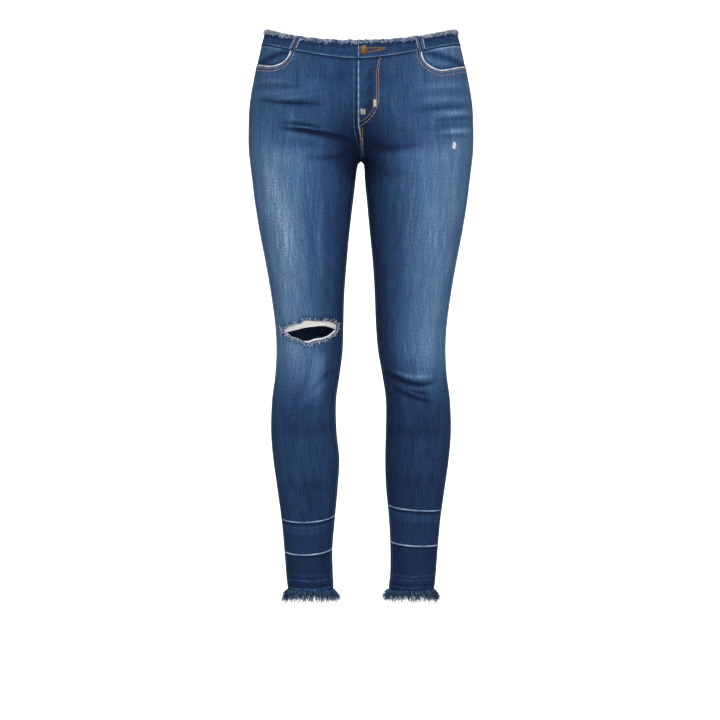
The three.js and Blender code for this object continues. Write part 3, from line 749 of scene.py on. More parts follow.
@dataclass(frozen=True)
class Thread(Finish):
    """Spun thread or yarn; each strand has a tone of its own between two colours."""

    dark: tuple
    light: tuple
    roughness: float = 0.8

    def shade(self, sheet: NodeSheet, tone: bpy.types.NodeSocket, shader: bpy.types.Node) -> None:
        """Sets the spun thread's tones and ply.

        Args:
            sheet: where nodes are added.
            tone: the piece's own tone.
            shader: the shader to feed.
        """
        place = sheet.add("ShaderNodeTexCoord").outputs["Object"]
        ply = sheet.add("ShaderNodeTexNoise")
        sheet.feed(ply, Vector=place, Scale=900.0, Detail=2.0)
        varied = sheet.math("ADD", tone, sheet.math("MULTIPLY", ply.outputs[0], 0.3))
        colour = sheet.blend(self.dark, self.light, sheet.math("SUBTRACT", varied, 0.15))
        bump = sheet.add("ShaderNodeBump")
        sheet.feed(bump, Height=ply.outputs[0], Strength=0.4, Distance=0.0003)
        sheet.feed(shader, Base_Color=colour, Roughness=self.roughness,
                   Normal=bump.outputs[0], Specular_IOR_Level=0.15)


@dataclass(frozen=True)
class AntiqueBronze(Finish):
    """Satin bronze, darker in its hollows and rubbed on the dome."""

    name: str = "antique_bronze_button"
    dark: tuple = (0.03, 0.015, 0.007)
    rubbed: tuple = (0.17, 0.09, 0.042)
    roughness: float = 0.42

    def shade(self, sheet: NodeSheet, tone: bpy.types.NodeSocket, shader: bpy.types.Node) -> None:
        """Sets the patina and the rubbed dome.

        Args:
            sheet: where nodes are added.
            tone: the piece's own tone.
            shader: the shader to feed.
        """
        place = sheet.add("ShaderNodeTexCoord").outputs["Object"]
        patina = sheet.add("ShaderNodeTexNoise")
        sheet.feed(patina, Vector=place, Scale=700.0, Detail=3.0)
        worn = sheet.math("ADD", tone, sheet.math("SUBTRACT", patina.outputs[0], 0.5))
        colour = sheet.blend(self.dark, self.rubbed, worn)
        rough = sheet.math("ADD", sheet.math("MULTIPLY", patina.outputs[0], 0.25),
                           self.roughness - 0.12)
        sheet.feed(shader, Base_Color=colour, Metallic=0.85, Roughness=rough)


WASHED = Denim("washed_denim_cloth")
WAIST = Denim("waist_denim_cloth", slub=0.55, fleck=0.35)
BANDED = Denim("dark_denim_cloth", slub=0.45, fleck=0.22)
RIDGE = Denim("worn_seam_ridge", slub=0.3, fleck=0.35, bump=0.6)
TAN_THREAD = Thread("tan_topstitch_thread", (0.24, 0.12, 0.05), (0.62, 0.37, 0.18))
BROWN_THREAD = Thread("brown_buttonhole_thread", (0.08, 0.045, 0.022), (0.26, 0.16, 0.085))
PALE_THREAD = Thread("pale_bartack_thread", (0.42, 0.33, 0.24), (0.80, 0.72, 0.62))
BLUE_FRAY = Thread("blue_fray_threads", (0.003, 0.009, 0.033), (0.12, 0.23, 0.43))
PALE_FRAY = Thread("pale_fray_threads", (0.02, 0.05, 0.15), (0.84, 0.89, 0.96))
WEFT = Thread("white_weft_threads", (0.66, 0.66, 0.67), (0.97, 0.96, 0.94))
BRONZE = AntiqueBronze()
NAVY_THREAD = Thread("navy_thread", (0.02, 0.04, 0.1), (0.1, 0.16, 0.3))


# ------------------------------------------------------------------ meshes


FIGURE = Figure()
SEAMS = SeamLines()
WEAR_AND_SHADE = WearAndShade()


def new_object(name: str, mesh: bpy.types.Mesh) -> Piece:
    """Puts a mesh in the scene as an object at the origin."""
    made = bpy.data.objects.new(name, mesh)
    bpy.context.scene.collection.objects.link(made)
    return made


def set_floats(mesh: bpy.types.Mesh, name: str, values: Array) -> None:
    """Stores one number for each point of a mesh."""
    mesh.attributes.new(name, "FLOAT", "POINT").data.foreach_set("value", values.astype(np.float32))


def set_vectors(mesh: bpy.types.Mesh, name: str, values: Array) -> None:
    """Stores one vector for each point of a mesh."""
    store = mesh.attributes.new(name, "FLOAT_VECTOR", "POINT")
    store.data.foreach_set("vector", values.astype(np.float32).ravel())


def close_shell(outer: Array, inner: Array, quads: Array) -> tuple[Array, Array, Array]:
    """Two sheets with the same faces, closed along every edge.

    Args:
        outer: points of the sheet that faces out.
        inner: points of the sheet behind it.
        quads: faces of the outer sheet, as rows of four point numbers.

    Returns:
        Points, faces, and which faces are side walls.
    """
    count = len(outer)
    edges = np.vstack([quads[:, [k, (k + 1) % 4]] for k in range(4)])
    ahead, behind = edges[:, 0] * count + edges[:, 1], edges[:, 1] * count + edges[:, 0]
    rim = edges[~np.isin(ahead, behind)]
    walls = np.column_stack([rim[:, 1], rim[:, 0], rim[:, 0] + count, rim[:, 1] + count])
    faces = np.vstack([quads, quads[:, ::-1] + count, walls])
    points = np.vstack([outer, inner])
    a, b, c, d = (points[faces[:, k]] for k in range(4))
    if float(np.sum(a * np.cross(b, c)) + np.sum(a * np.cross(c, d))) < 0:
        faces = faces[:, ::-1]
    is_wall = np.zeros(len(faces), bool)
    is_wall[2 * len(quads):] = True
    return points, faces, is_wall


def cloth_object(name: str, points: Array, faces: Array, is_wall: Array, tone: Array,
                 chart: Array, finish: Denim) -> Piece:
    """Makes one cloth piece.

    Args:
        name: the piece's name.
        points: its points in millimetres.
        faces: rows of four point numbers.
        is_wall: which faces are cut edges.
        tone: the denim's tone at each point.
        chart: cloth coordinates of each point in metres.
        finish: what it is made of.

    Returns:
        The object.
    """
    used = np.unique(faces)
    renumber = np.zeros(len(points), int)
    renumber[used] = np.arange(len(used))
    faces = renumber[faces]
    mesh = bpy.data.meshes.new(name)
    mesh.from_pydata((points[used] * MM).tolist(), [], faces.tolist())
    layer = mesh.uv_layers.new(name="cloth")
    layer.data.foreach_set("uv", chart[used][faces.ravel()].astype(np.float32).ravel())
    set_floats(mesh, "tone", tone[used])
    mesh.polygons.foreach_set("use_smooth", (~is_wall).tolist())
    mesh.materials.append(finish.material())
    mesh.validate()
    mesh.update()
    return new_object(name, mesh)


def grid_quads(rows: int, columns: int) -> Array:
    """Faces of a grid whose points run row by row."""
    r, c = np.meshgrid(np.arange(rows - 1), np.arange(columns - 1), indexing="ij")
    a = (r * columns + c).ravel()
    return np.column_stack([a, a + 1, a + columns + 1, a + columns])


@dataclass(frozen=True)
class Opening:
    """A hole or a cut-away edge of a panel, as a closed outline of q and z."""

    outline: Array
    width: float = 200.0

    def snap(self, q: Array, z: Array, quads: Array, pitch: float) -> tuple[Array, Array, Array]:
        """Cuts the opening out of a grid, whose nearest points move onto its outline.

        Args:
            q: q of the grid's points.
            z: their heights.
            quads: the grid's faces.
            pitch: the grid's spacing.

        Returns:
            The moved q and z, and the faces that are left.
        """
        line = np.column_stack([self.outline[:, 0] * self.width, self.outline[:, 1]])
        here = np.column_stack([q * self.width, z])
        nearest, far, inside = self.measure(line, here)
        moved = far < 0.45 * pitch
        here[moved] = nearest[moved]
        free = ~inside & ~moved
        touching = np.zeros(len(here), bool)
        mixed = quads[free[quads].any(axis=1)]
        touching[mixed.ravel()] = True
        late = inside & ~moved & touching
        here[late] = nearest[late]
        centre = here[quads].mean(axis=1)
        gone = self.measure(line, centre)[2] & ~free[quads].any(axis=1)
        return here[:, 0] / self.width, here[:, 1], quads[~gone]

    @staticmethod
    def measure(line: Array, here: Array) -> tuple[Array, Array, Array]:
        """Nearest place on a closed outline, how far it is, and what lies inside.

        Args:
            line: the outline.
            here: the points to measure from.

        Returns:
            The three, for each point.
        """
        best = np.full(len(here), 1e18)
        nearest = here.copy()
        inside = np.zeros(len(here), bool)
        for a, b in zip(line, np.roll(line, -1, axis=0)):
            d = b - a
            if not d.any():
                continue
            s = np.clip(((here - a) @ d) / (d @ d), 0.0, 1.0)
            foot = a + s[:, None] * d
            far = ((here - foot) ** 2).sum(axis=1)
            closer = far < best
            best, nearest = np.where(closer, far, best), np.where(closer[:, None], foot, nearest)
            if a[1] != b[1]:
                crosses = (a[1] > here[:, 1]) != (b[1] > here[:, 1])
                at = a[0] + (here[:, 1] - a[1]) * (b[0] - a[0]) / (b[1] - a[1])
                inside ^= crosses & (here[:, 0] < at)
        return nearest, np.sqrt(best), inside


@dataclass
class ClothPiece:
    """One cut piece of cloth, laid over the form as a thin closed wall."""

    name: str
    side: Side
    face: Face
    finish: Denim
    columns: Array
    rows: Array
    place: Callable[[Array, Array], tuple[Array, Array]]
    stand_off: float = 0.0
    wall: float = 1.4
    pitch: float = 3.2
    openings: tuple = ()
    lift: Optional[Callable[[Array, Array], Array]] = None
    tint: Optional[Callable[[Array, Array, Array, Array], Array]] = None
    inside_tone: float = 0.62

    def build(self) -> Piece:
        """Lays, cuts, creases and closes the piece.

        Returns:
            The piece's object.
        """
        u, s = np.meshgrid(self.columns, self.rows)
        q, z = self.place(u, s)
        shape = q.shape
        flat = self.side.value, self.face.value
        points = FIGURE.cloth(*flat, q, z)[0]
        run = np.linalg.norm(np.diff(points, axis=1), axis=-1)
        across = np.concatenate([np.zeros((shape[0], 1)), np.cumsum(run, axis=1)], axis=1)
        middle_z = np.minimum(z[:, 0], FIGURE.crotch_z - 6)
        middle = (FIGURE.station(FIGURE.legs, 1, middle_z) + FIGURE.station(FIGURE.legs, 2, middle_z)) / 2
        away = np.abs(points[..., 0])
        across -= np.array([np.interp(m, a, r) for m, a, r in zip(middle, away, across)])[:, None]
        chart = np.column_stack([across.ravel() * MM + 3.0, z.ravel() * MM + 3.0])
        quads = grid_quads(*shape)
        q, z = q.ravel(), z.ravel()
        for opening in self.openings:
            q, z, quads = opening.snap(q, z, quads, self.pitch)
        points, normals = FIGURE.cloth(*flat, q, z)
        x = points[:, 0]
        out = self.stand_off - WEAR_AND_SHADE.relief(self.face.value, x, z)
        if self.lift is not None:
            out = out + self.lift(q, z)
        tone = WEAR_AND_SHADE.tone(self.face.value, q, x, z)
        if self.tint is not None:
            tone = self.tint(tone, q, x, z)
        outer = points + normals * out[:, None]
        inner = points + normals * (out - self.wall)[:, None]
        made = close_shell(outer, inner, quads)
        tones = np.concatenate([tone, np.full(len(tone), self.inside_tone)])
        return cloth_object(self.name, *made, tones, np.vstack([chart, chart]), self.finish)


def along_cloth(side: Side, face: Face, q: Array, z: Array, out: float) -> tuple[Array, Array]:
    """A line laid on the cloth.

    Args:
        side: which side.
        face: front or back.
        q: q of the line's points.
        z: their heights.
        out: how far the line stands off the panels' outer face.

    Returns:
        Its points and the directions that the cloth faces there.
    """
    points, normals = FIGURE.cloth(side.value, face.value, q, z)
    depth = out - WEAR_AND_SHADE.relief(face.value, points[:, 0], np.asarray(z, float))
    return points + normals * np.asarray(depth)[:, None], normals


def ridge_object(name: str, path: Array, normals: Array, half_width: float, height: float,
                 tone: Array, finish: Denim = RIDGE, sides: int = 8) -> Piece:
    """A rolled or felled edge: a low rounded strip along a path.

    Args:
        name: the piece's name.
        path: its middle line in millimetres.
        normals: which way the cloth faces along it.
        half_width: half the strip's width.
        height: half its height.
        tone: tone along the path.
        finish: what it is made of.
        sides: points round the strip.

    Returns:
        The object.
    """
    count = len(path)
    ahead = unit(np.gradient(path, axis=0))
    sideways = unit(np.cross(ahead, normals))
    facing = unit(np.cross(sideways, ahead))
    turn = np.linspace(0, 2 * np.pi, sides, endpoint=False)
    ends = np.sqrt(np.clip(np.minimum(np.arange(count), np.arange(count)[::-1]) / 3 + 0.15, 0, 1))
    ring = (path[:, None] + sideways[:, None] * (np.cos(turn) * half_width)[None, :, None]
            * ends[:, None, None]
            + facing[:, None] * (np.sin(turn) * height)[None, :, None] * ends[:, None, None])
    r, c = np.meshgrid(np.arange(count - 1), np.arange(sides), indexing="ij")
    nxt = (c + 1) % sides
    quads = np.stack([r * sides + c, (r + 1) * sides + c, (r + 1) * sides + nxt, r * sides + nxt],
                     axis=-1).reshape(-1, 4)
    mesh = bpy.data.meshes.new(name)
    caps = [list(range(sides)), list(range((count - 1) * sides, count * sides))[::-1]]
    mesh.from_pydata((ring.reshape(-1, 3) * MM).tolist(), [], quads.tolist() + caps)
    run = np.concatenate([[0.0], np.cumsum(np.linalg.norm(np.diff(path, axis=0), axis=1))]) * MM
    chart = np.stack(np.broadcast_arrays(turn[None, :] * half_width * MM + 3.0,
                                         run[:, None] + 3.0), axis=-1).reshape(-1, 2)
    order = np.zeros(len(mesh.loops), int)
    mesh.loops.foreach_get("vertex_index", order)
    mesh.uv_layers.new(name="cloth").data.foreach_set(
        "uv", chart[order].astype(np.float32).ravel())
    set_floats(mesh, "tone", np.repeat(np.broadcast_to(tone, (count,)), sides))
    mesh.polygons.foreach_set("use_smooth", [True] * len(mesh.polygons))
    mesh.materials.append(finish.material())
    mesh.update()
    made = new_object(name, mesh)
    face_outwards(made)
    return made


def face_outwards(made: Piece) -> None:
    """Turns a closed mesh's faces out."""
    work = bmesh.new()
    work.from_mesh(made.data)
    bmesh.ops.recalc_face_normals(work, faces=work.faces)
    work.to_mesh(made.data)
    work.free()


# ------------------------------------------------------------------ geometry nodes


def bake_nodes(name: str, mesh: bpy.types.Mesh, tree: bpy.types.NodeTree,
               inputs: dict[str, object], finish: Finish) -> Piece:
    """Runs a node tree on a mesh of points or lines and keeps the result as a plain mesh.

    Args:
        name: the piece's name.
        mesh: what the tree starts from.
        tree: the tree, from Geometry to Geometry.
        inputs: values of its other named inputs.
        finish: the finish whose material goes into the input named Material.

    Returns:
        The finished object.
    """
    source = new_object(name + "_source", mesh)
    modifier = source.modifiers.new("nodes", "NODES")
    modifier.node_group = tree
    values = {**inputs, "Material": finish.material()}
    for item in tree.interface.items_tree:
        if item.in_out == "INPUT" and item.name in values:
            modifier[item.identifier] = values[item.name]
    graph = bpy.context.evaluated_depsgraph_get()
    graph.update()
    result = bpy.data.meshes.new_from_object(source.evaluated_get(graph), depsgraph=graph)
    bpy.data.objects.remove(source)
    result.name = name
    return new_object(name, result)


class StitchTree:
    """Puts one stitch on each point, lying along the seam and standing on the cloth."""

    NAME = "stitches"

    @classmethod
    def tree(cls) -> bpy.types.NodeTree:
        """The tree, made once.

        Returns:
            A geometry tree with Length, Width, Height, Unevenness, Seed and Material.
        """
        found = bpy.data.node_groups.get(cls.NAME)
        if found:
            return found
        tree = node_group(cls.NAME, "GeometryNodeTree",
                          {"Geometry": "Geometry", "Length": "Float", "Width": "Float",
                           "Height": "Float", "Unevenness": "Float", "Seed": "Int",
                           "Material": "Material"}, {"Geometry": "Geometry"})
        sheet = NodeSheet(tree)
        given = sheet.add("NodeGroupInput").outputs
        ball = sheet.add("GeometryNodeMeshUVSphere")
        sheet.feed(ball, Segments=6, Rings=5, Radius=0.5)
        size = sheet.add("ShaderNodeCombineXYZ")
        sheet.feed(size, X=given["Length"], Y=given["Width"], Z=given["Height"])
        stitch = sheet.add("GeometryNodeTransform")
        sheet.feed(stitch, Geometry=ball.outputs["Mesh"], Scale=size.outputs[0])
        along = sheet.add("GeometryNodeInputNamedAttribute", data_type="FLOAT_VECTOR")
        facing = sheet.add("GeometryNodeInputNamedAttribute", data_type="FLOAT_VECTOR")
        sheet.feed(along, Name="along")
        sheet.feed(facing, Name="facing")
        lie = sheet.add("FunctionNodeAlignRotationToVector", axis="X")
        sheet.feed(lie, Vector=along.outputs[0])
        stand = sheet.add("FunctionNodeAlignRotationToVector", axis="Z", pivot_axis="X")
        sheet.feed(stand, Rotation=lie.outputs[0], Vector=facing.outputs[0])
        least = sheet.math("SUBTRACT", 1.0, given["Unevenness"])
        vary = sheet.add("FunctionNodeRandomValue", data_type="FLOAT")
        tree.links.new(least, vary.inputs[2])
        vary.inputs[3].default_value = 1.0
        sheet.feed(vary, Seed=given["Seed"])
        placed = sheet.add("GeometryNodeInstanceOnPoints")
        sheet.feed(placed, Points=given["Geometry"], Instance=stitch.outputs[0],
                   Rotation=stand.outputs[0], Scale=vary.outputs[1])
        real = sheet.add("GeometryNodeRealizeInstances")
        sheet.feed(real, Geometry=placed.outputs[0])
        soft = sheet.add("GeometryNodeSetShadeSmooth")
        sheet.feed(soft, Geometry=real.outputs[0])
        dressed = sheet.add("GeometryNodeSetMaterial")
        sheet.feed(dressed, Geometry=soft.outputs[0], Material=given["Material"])
        sheet.feed(sheet.add("NodeGroupOutput"), Geometry=dressed.outputs[0])
        return tree


class StrandTree:
    """Turns lines into spun strands whose thickness follows their girth attribute."""

    NAME = "strands"

    @classmethod
    def tree(cls) -> bpy.types.NodeTree:
        """The tree, made once.

        Returns:
            A geometry tree with Radius, Sides and Material.
        """
        found = bpy.data.node_groups.get(cls.NAME)
        if found:
            return found
        tree = node_group(cls.NAME, "GeometryNodeTree",
                          {"Geometry": "Geometry", "Radius": "Float", "Sides": "Int",
                           "Material": "Material"}, {"Geometry": "Geometry"})
        sheet = NodeSheet(tree)
        given = sheet.add("NodeGroupInput").outputs
        curves = sheet.add("GeometryNodeMeshToCurve")
        sheet.feed(curves, Mesh=given["Geometry"])
        girth = sheet.add("GeometryNodeInputNamedAttribute", data_type="FLOAT")
        sheet.feed(girth, Name="girth")
        ring = sheet.add("GeometryNodeCurvePrimitiveCircle")
        sheet.feed(ring, Resolution=given["Sides"], Radius=given["Radius"])
        tube = sheet.add("GeometryNodeCurveToMesh")
        sheet.feed(tube, Curve=curves.outputs[0], Profile_Curve=ring.outputs[0],
                   Scale=girth.outputs[0], Fill_Caps=True)
        real = sheet.add("GeometryNodeRealizeInstances")
        sheet.feed(real, Geometry=tube.outputs[0])
        dressed = sheet.add("GeometryNodeSetMaterial")
        sheet.feed(dressed, Geometry=real.outputs[0], Material=given["Material"])
        sheet.feed(sheet.add("NodeGroupOutput"), Geometry=dressed.outputs[0])
        return tree


@dataclass
class StitchRows:
    """Rows of topstitching that share one thread."""

    name: str
    finish: Thread
    length: float = 2.7
    pitch: float = 3.2
    width: float = 1.15
    height: float = 0.8
    unevenness: float = 0.12
    seed: int = 4
    centres: list[Array] = field(default_factory=list)
    tangents: list[Array] = field(default_factory=list)
    facings: list[Array] = field(default_factory=list)

    def row(self, side: Side, face: Face, q: Array, z: Array, out: float = 0.1) -> None:
        """Adds a row along a line on the cloth, given by the q and z of its points."""
        points, normals = along_cloth(side, face, np.asarray(q, float), np.asarray(z, float), out)
        packed = even_points(np.hstack([points, normals]), self.pitch)
        self.centres.append(packed[:, :3])
        self.tangents.append(unit(np.gradient(packed[:, :3], axis=0)))
        self.facings.append(unit(packed[:, 3:]))

    def satin(self, centres: Array, facings: Array, across: Array) -> None:
        """Adds stitches side by side, each lying along its own direction."""
        self.centres.append(centres)
        self.tangents.append(across)
        self.facings.append(facings)

    def build(self) -> Piece:
        """Makes every row into one mesh."""
        mesh = bpy.data.meshes.new(self.name)
        mesh.from_pydata((np.vstack(self.centres) * MM).tolist(), [], [])
        set_vectors(mesh, "along", np.vstack(self.tangents))
        set_vectors(mesh, "facing", np.vstack(self.facings))
        tones = np.random.default_rng(self.seed).uniform(0.1, 0.9, len(mesh.vertices))
        set_floats(mesh, "tone", tones)
        inputs = {"Length": self.length * MM, "Width": self.width * MM,
                  "Height": self.height * MM, "Unevenness": self.unevenness, "Seed": self.seed}
        return bake_nodes(self.name, mesh, StitchTree.tree(), inputs, self.finish)


@dataclass
class Strands:
    """Loose threads: each starts at a root, heads off, bends and curls a little."""

    name: str
    finish: Thread
    radius: float = 0.22
    steps: int = 7
    sides: int = 4
    seed: int = 1
    lines: list[Array] = field(default_factory=list)
    girths: list[Array] = field(default_factory=list)
    tones: list[Array] = field(default_factory=list)

    def __post_init__(self) -> None:
        """Starts its own source of chance."""
        self.random = np.random.default_rng(self.seed)

    def grow(self, roots: Array, heading: Array, length: Array, bend: Array, curl: float,
             tone: Array, taper: float = 0.5) -> None:
        """Adds threads.

        Args:
            roots: where they start.
            heading: which way each sets off.
            length: how long each is.
            bend: how far each tip is pulled from the straight line.
            curl: how far a thread strays from its path.
            tone: tone of each, from dark to light.
            taper: thickness of a tip against its root.
        """
        count = len(roots)
        s = np.linspace(0.0, 1.0, self.steps)
        straight = unit(heading)[:, None] * (length[:, None] * s)[..., None]
        stray = self.random.normal(0.0, curl, (count, self.steps, 3))
        stray = np.cumsum(stray, axis=1) * s[None, :, None]
        self.lines.append(roots[:, None] + straight + bend[:, None] * (s**2)[None, :, None] + stray)
        thick = self.random.uniform(0.7, 1.25, (count, 1)) * (1 - (1 - taper) * s[None])
        self.girths.append(thick)
        self.tones.append(np.repeat(np.asarray(tone, float)[:, None], self.steps, axis=1))

    def lay(self, lines: Array, tone: Array, girth: float = 1.0) -> None:
        """Adds strands whose points are given, all with this object's number of steps."""
        self.lines.append(lines)
        self.girths.append(np.full(lines.shape[:2], girth))
        self.tones.append(np.repeat(np.asarray(tone, float)[:, None], lines.shape[1], axis=1))

    def build(self) -> Piece:
        """Spins every line into one mesh."""
        lines = np.vstack(self.lines)
        count, steps = lines.shape[:2]
        start = (np.arange(count)[:, None] * steps + np.arange(steps - 1)[None]).ravel()
        mesh = bpy.data.meshes.new(self.name)
        mesh.from_pydata((lines.reshape(-1, 3) * MM).tolist(),
                         np.column_stack([start, start + 1]).tolist(), [])
        set_floats(mesh, "girth", np.vstack(self.girths).ravel())
        set_floats(mesh, "tone", np.vstack(self.tones).ravel())
        inputs = {"Radius": self.radius * MM, "Sides": self.sides}
        made = bake_nodes(self.name, mesh, StrandTree.tree(), inputs, self.finish)
        face_outwards(made)
        return made


def settle(piece: Piece, slot: Optional[str], *nodes: str) -> Piece:
    """Fixes a piece to the garment and hides the frame's nodes that it stands for."""
    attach(piece, "root")
    if nodes:
        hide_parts(*nodes)
    LOG.info("%s: %d faces", piece.name, len(piece.data.polygons))
    return piece


# ------------------------------------------------------------------ sub-assemblies


@dataclass
class ScoopPockets:
    """The two scoop openings, their rolled edges, topstitching and facings."""

    left_curve: tuple = ((93, 14), (93.4, -8), (93.8, -22), (95, -33), (100, -42), (109.4, -48.8),
                         (120, -52.3), (128.3, -52.5), (144.5, -47.8), (166, -40))
    right_curve: tuple = ((108, 10), (109, -10), (110.5, -25.3), (114.6, -33.4), (121.8, -40.4),
                          (133.3, -44.1), (146, -43.7), (167, -36.5))
    facing_depth: float = 24.0
    facing_wall: float = 1.2
    rows_below: tuple = (2.9, 7.8)
    left_cut: tuple = (0.130, 0.072)
    right_cut: tuple = (0.115, 0.063)

    def curve(self, side: Side) -> Array:
        """q and z along an opening, from above the waistband's seam to the outseam."""
        line = spline(self.left_curve if side is Side.LEFT else self.right_curve, 8)
        q = FIGURE.q_at(side, Face.FRONT, line[:, 0], line[:, 1])
        return np.column_stack([q, line[:, 1]])

    def opening(self, side: Side) -> Opening:
        """What the scoop cuts from its front panel."""
        line = self.curve(side)
        past = [[1.06, line[-1, 1] + 1.0], [1.06, 70.0], [line[0, 0], 70.0]]
        return Opening(np.vstack([line, past]), width=FIGURE.hip_arc)

    def shown(self, side: Side, inset: float) -> Array:
        """The part of the curve below the waistband, moved down and in by inset."""
        line = self.curve(side)
        flat = np.column_stack([line[:, 0] * FIGURE.hip_arc, line[:, 1]])
        ahead = unit(np.gradient(flat, axis=0))
        moved = flat + np.column_stack([ahead[:, 1], -ahead[:, 0]]) * inset
        moved[:, 0] /= FIGURE.hip_arc
        seam = SEAMS.waist_seam(-1.0, np.clip(moved[:, 0], 0, 1))
        return moved[(moved[:, 1] < seam - 0.8) & (moved[:, 0] < 0.997)]

    def build(self, side: Side, stitches: StitchRows) -> list[Piece]:
        """Makes one pocket's facing and rolled edge, and adds its stitches.

        Args:
            side: which pocket.
            stitches: the rows that its topstitching joins.

        Returns:
            The pieces.
        """
        name = side.name.lower()
        line = self.shown(side, 0.0)
        low, start = line[:, 1].min(), line[:, 0].min() - 0.10

        def place(u: Array, s: Array) -> tuple[Array, Array]:
            """Lays the facing's grid.

            Args:
                u: how far across, 0 to 1.
                s: how far down, 0 to 1.

            Returns:
                q and z.
            """
            edge = FIGURE.edge(0.0)
            q = mix(start, 1 - edge, u)
            top = SEAMS.waist_seam(-1.0, q) - 0.15
            return q, mix(top, low - self.facing_depth, s)

        def tint(tone: Array, q: Array, x: Array, z: Array) -> Array:
            """Painted shade beside the mouth, and paler under the waist seam.

            Args:
                tone: the wash's own tone; not used.
                q: how far from the middle to the outseam, 0 to 1.
                x: place across, in mm; not used.
                z: height, in mm.

            Returns:
                The tones.
            """
            near = Opening.measure(
                np.column_stack([line[:, 0] * FIGURE.hip_arc, line[:, 1]]),
                np.column_stack([q * FIGURE.hip_arc, z]))[1]
            lit = 0.47 if side is Side.RIGHT else 0.57
            # Painted shade beside the mouth, where the front's cut edge stands over the facing.
            shade = 0.34 * fade(near, 6.0)
            ridge = 0.25 * fade(SEAMS.waist_seam(-1.0, q) - 3.0 - z, 1.6)
            return lit + 0.05 * smooth(q, 0.7, 1.0) - shade + ridge

        facing = ClothPiece(f"scoop_facing_{name}", side, Face.FRONT, WASHED, spread(40),
                            spread(26), place, stand_off=-1.7, wall=self.facing_wall,
                            tint=tint).build()
        settle(facing, "washed_denim", f"pocket_facing_{name}")
        path, normals = along_cloth(side, Face.FRONT, line[:, 0], line[:, 1], 0.0)
        packed = even_points(np.hstack([path, normals]), 2.0)
        tone = 0.96 + 0.06 * np.sin(np.arange(len(packed)) * 0.5)
        roll = ridge_object(f"scoop_edge_{name}", packed[:, :3], packed[:, 3:], 1.05, 1.0, tone)
        settle(roll, "washed_denim")
        for inset in self.rows_below:
            row = self.shown(side, inset)
            stitches.row(side, Face.FRONT, row[:, 0], row[:, 1])
        return [facing, roll]


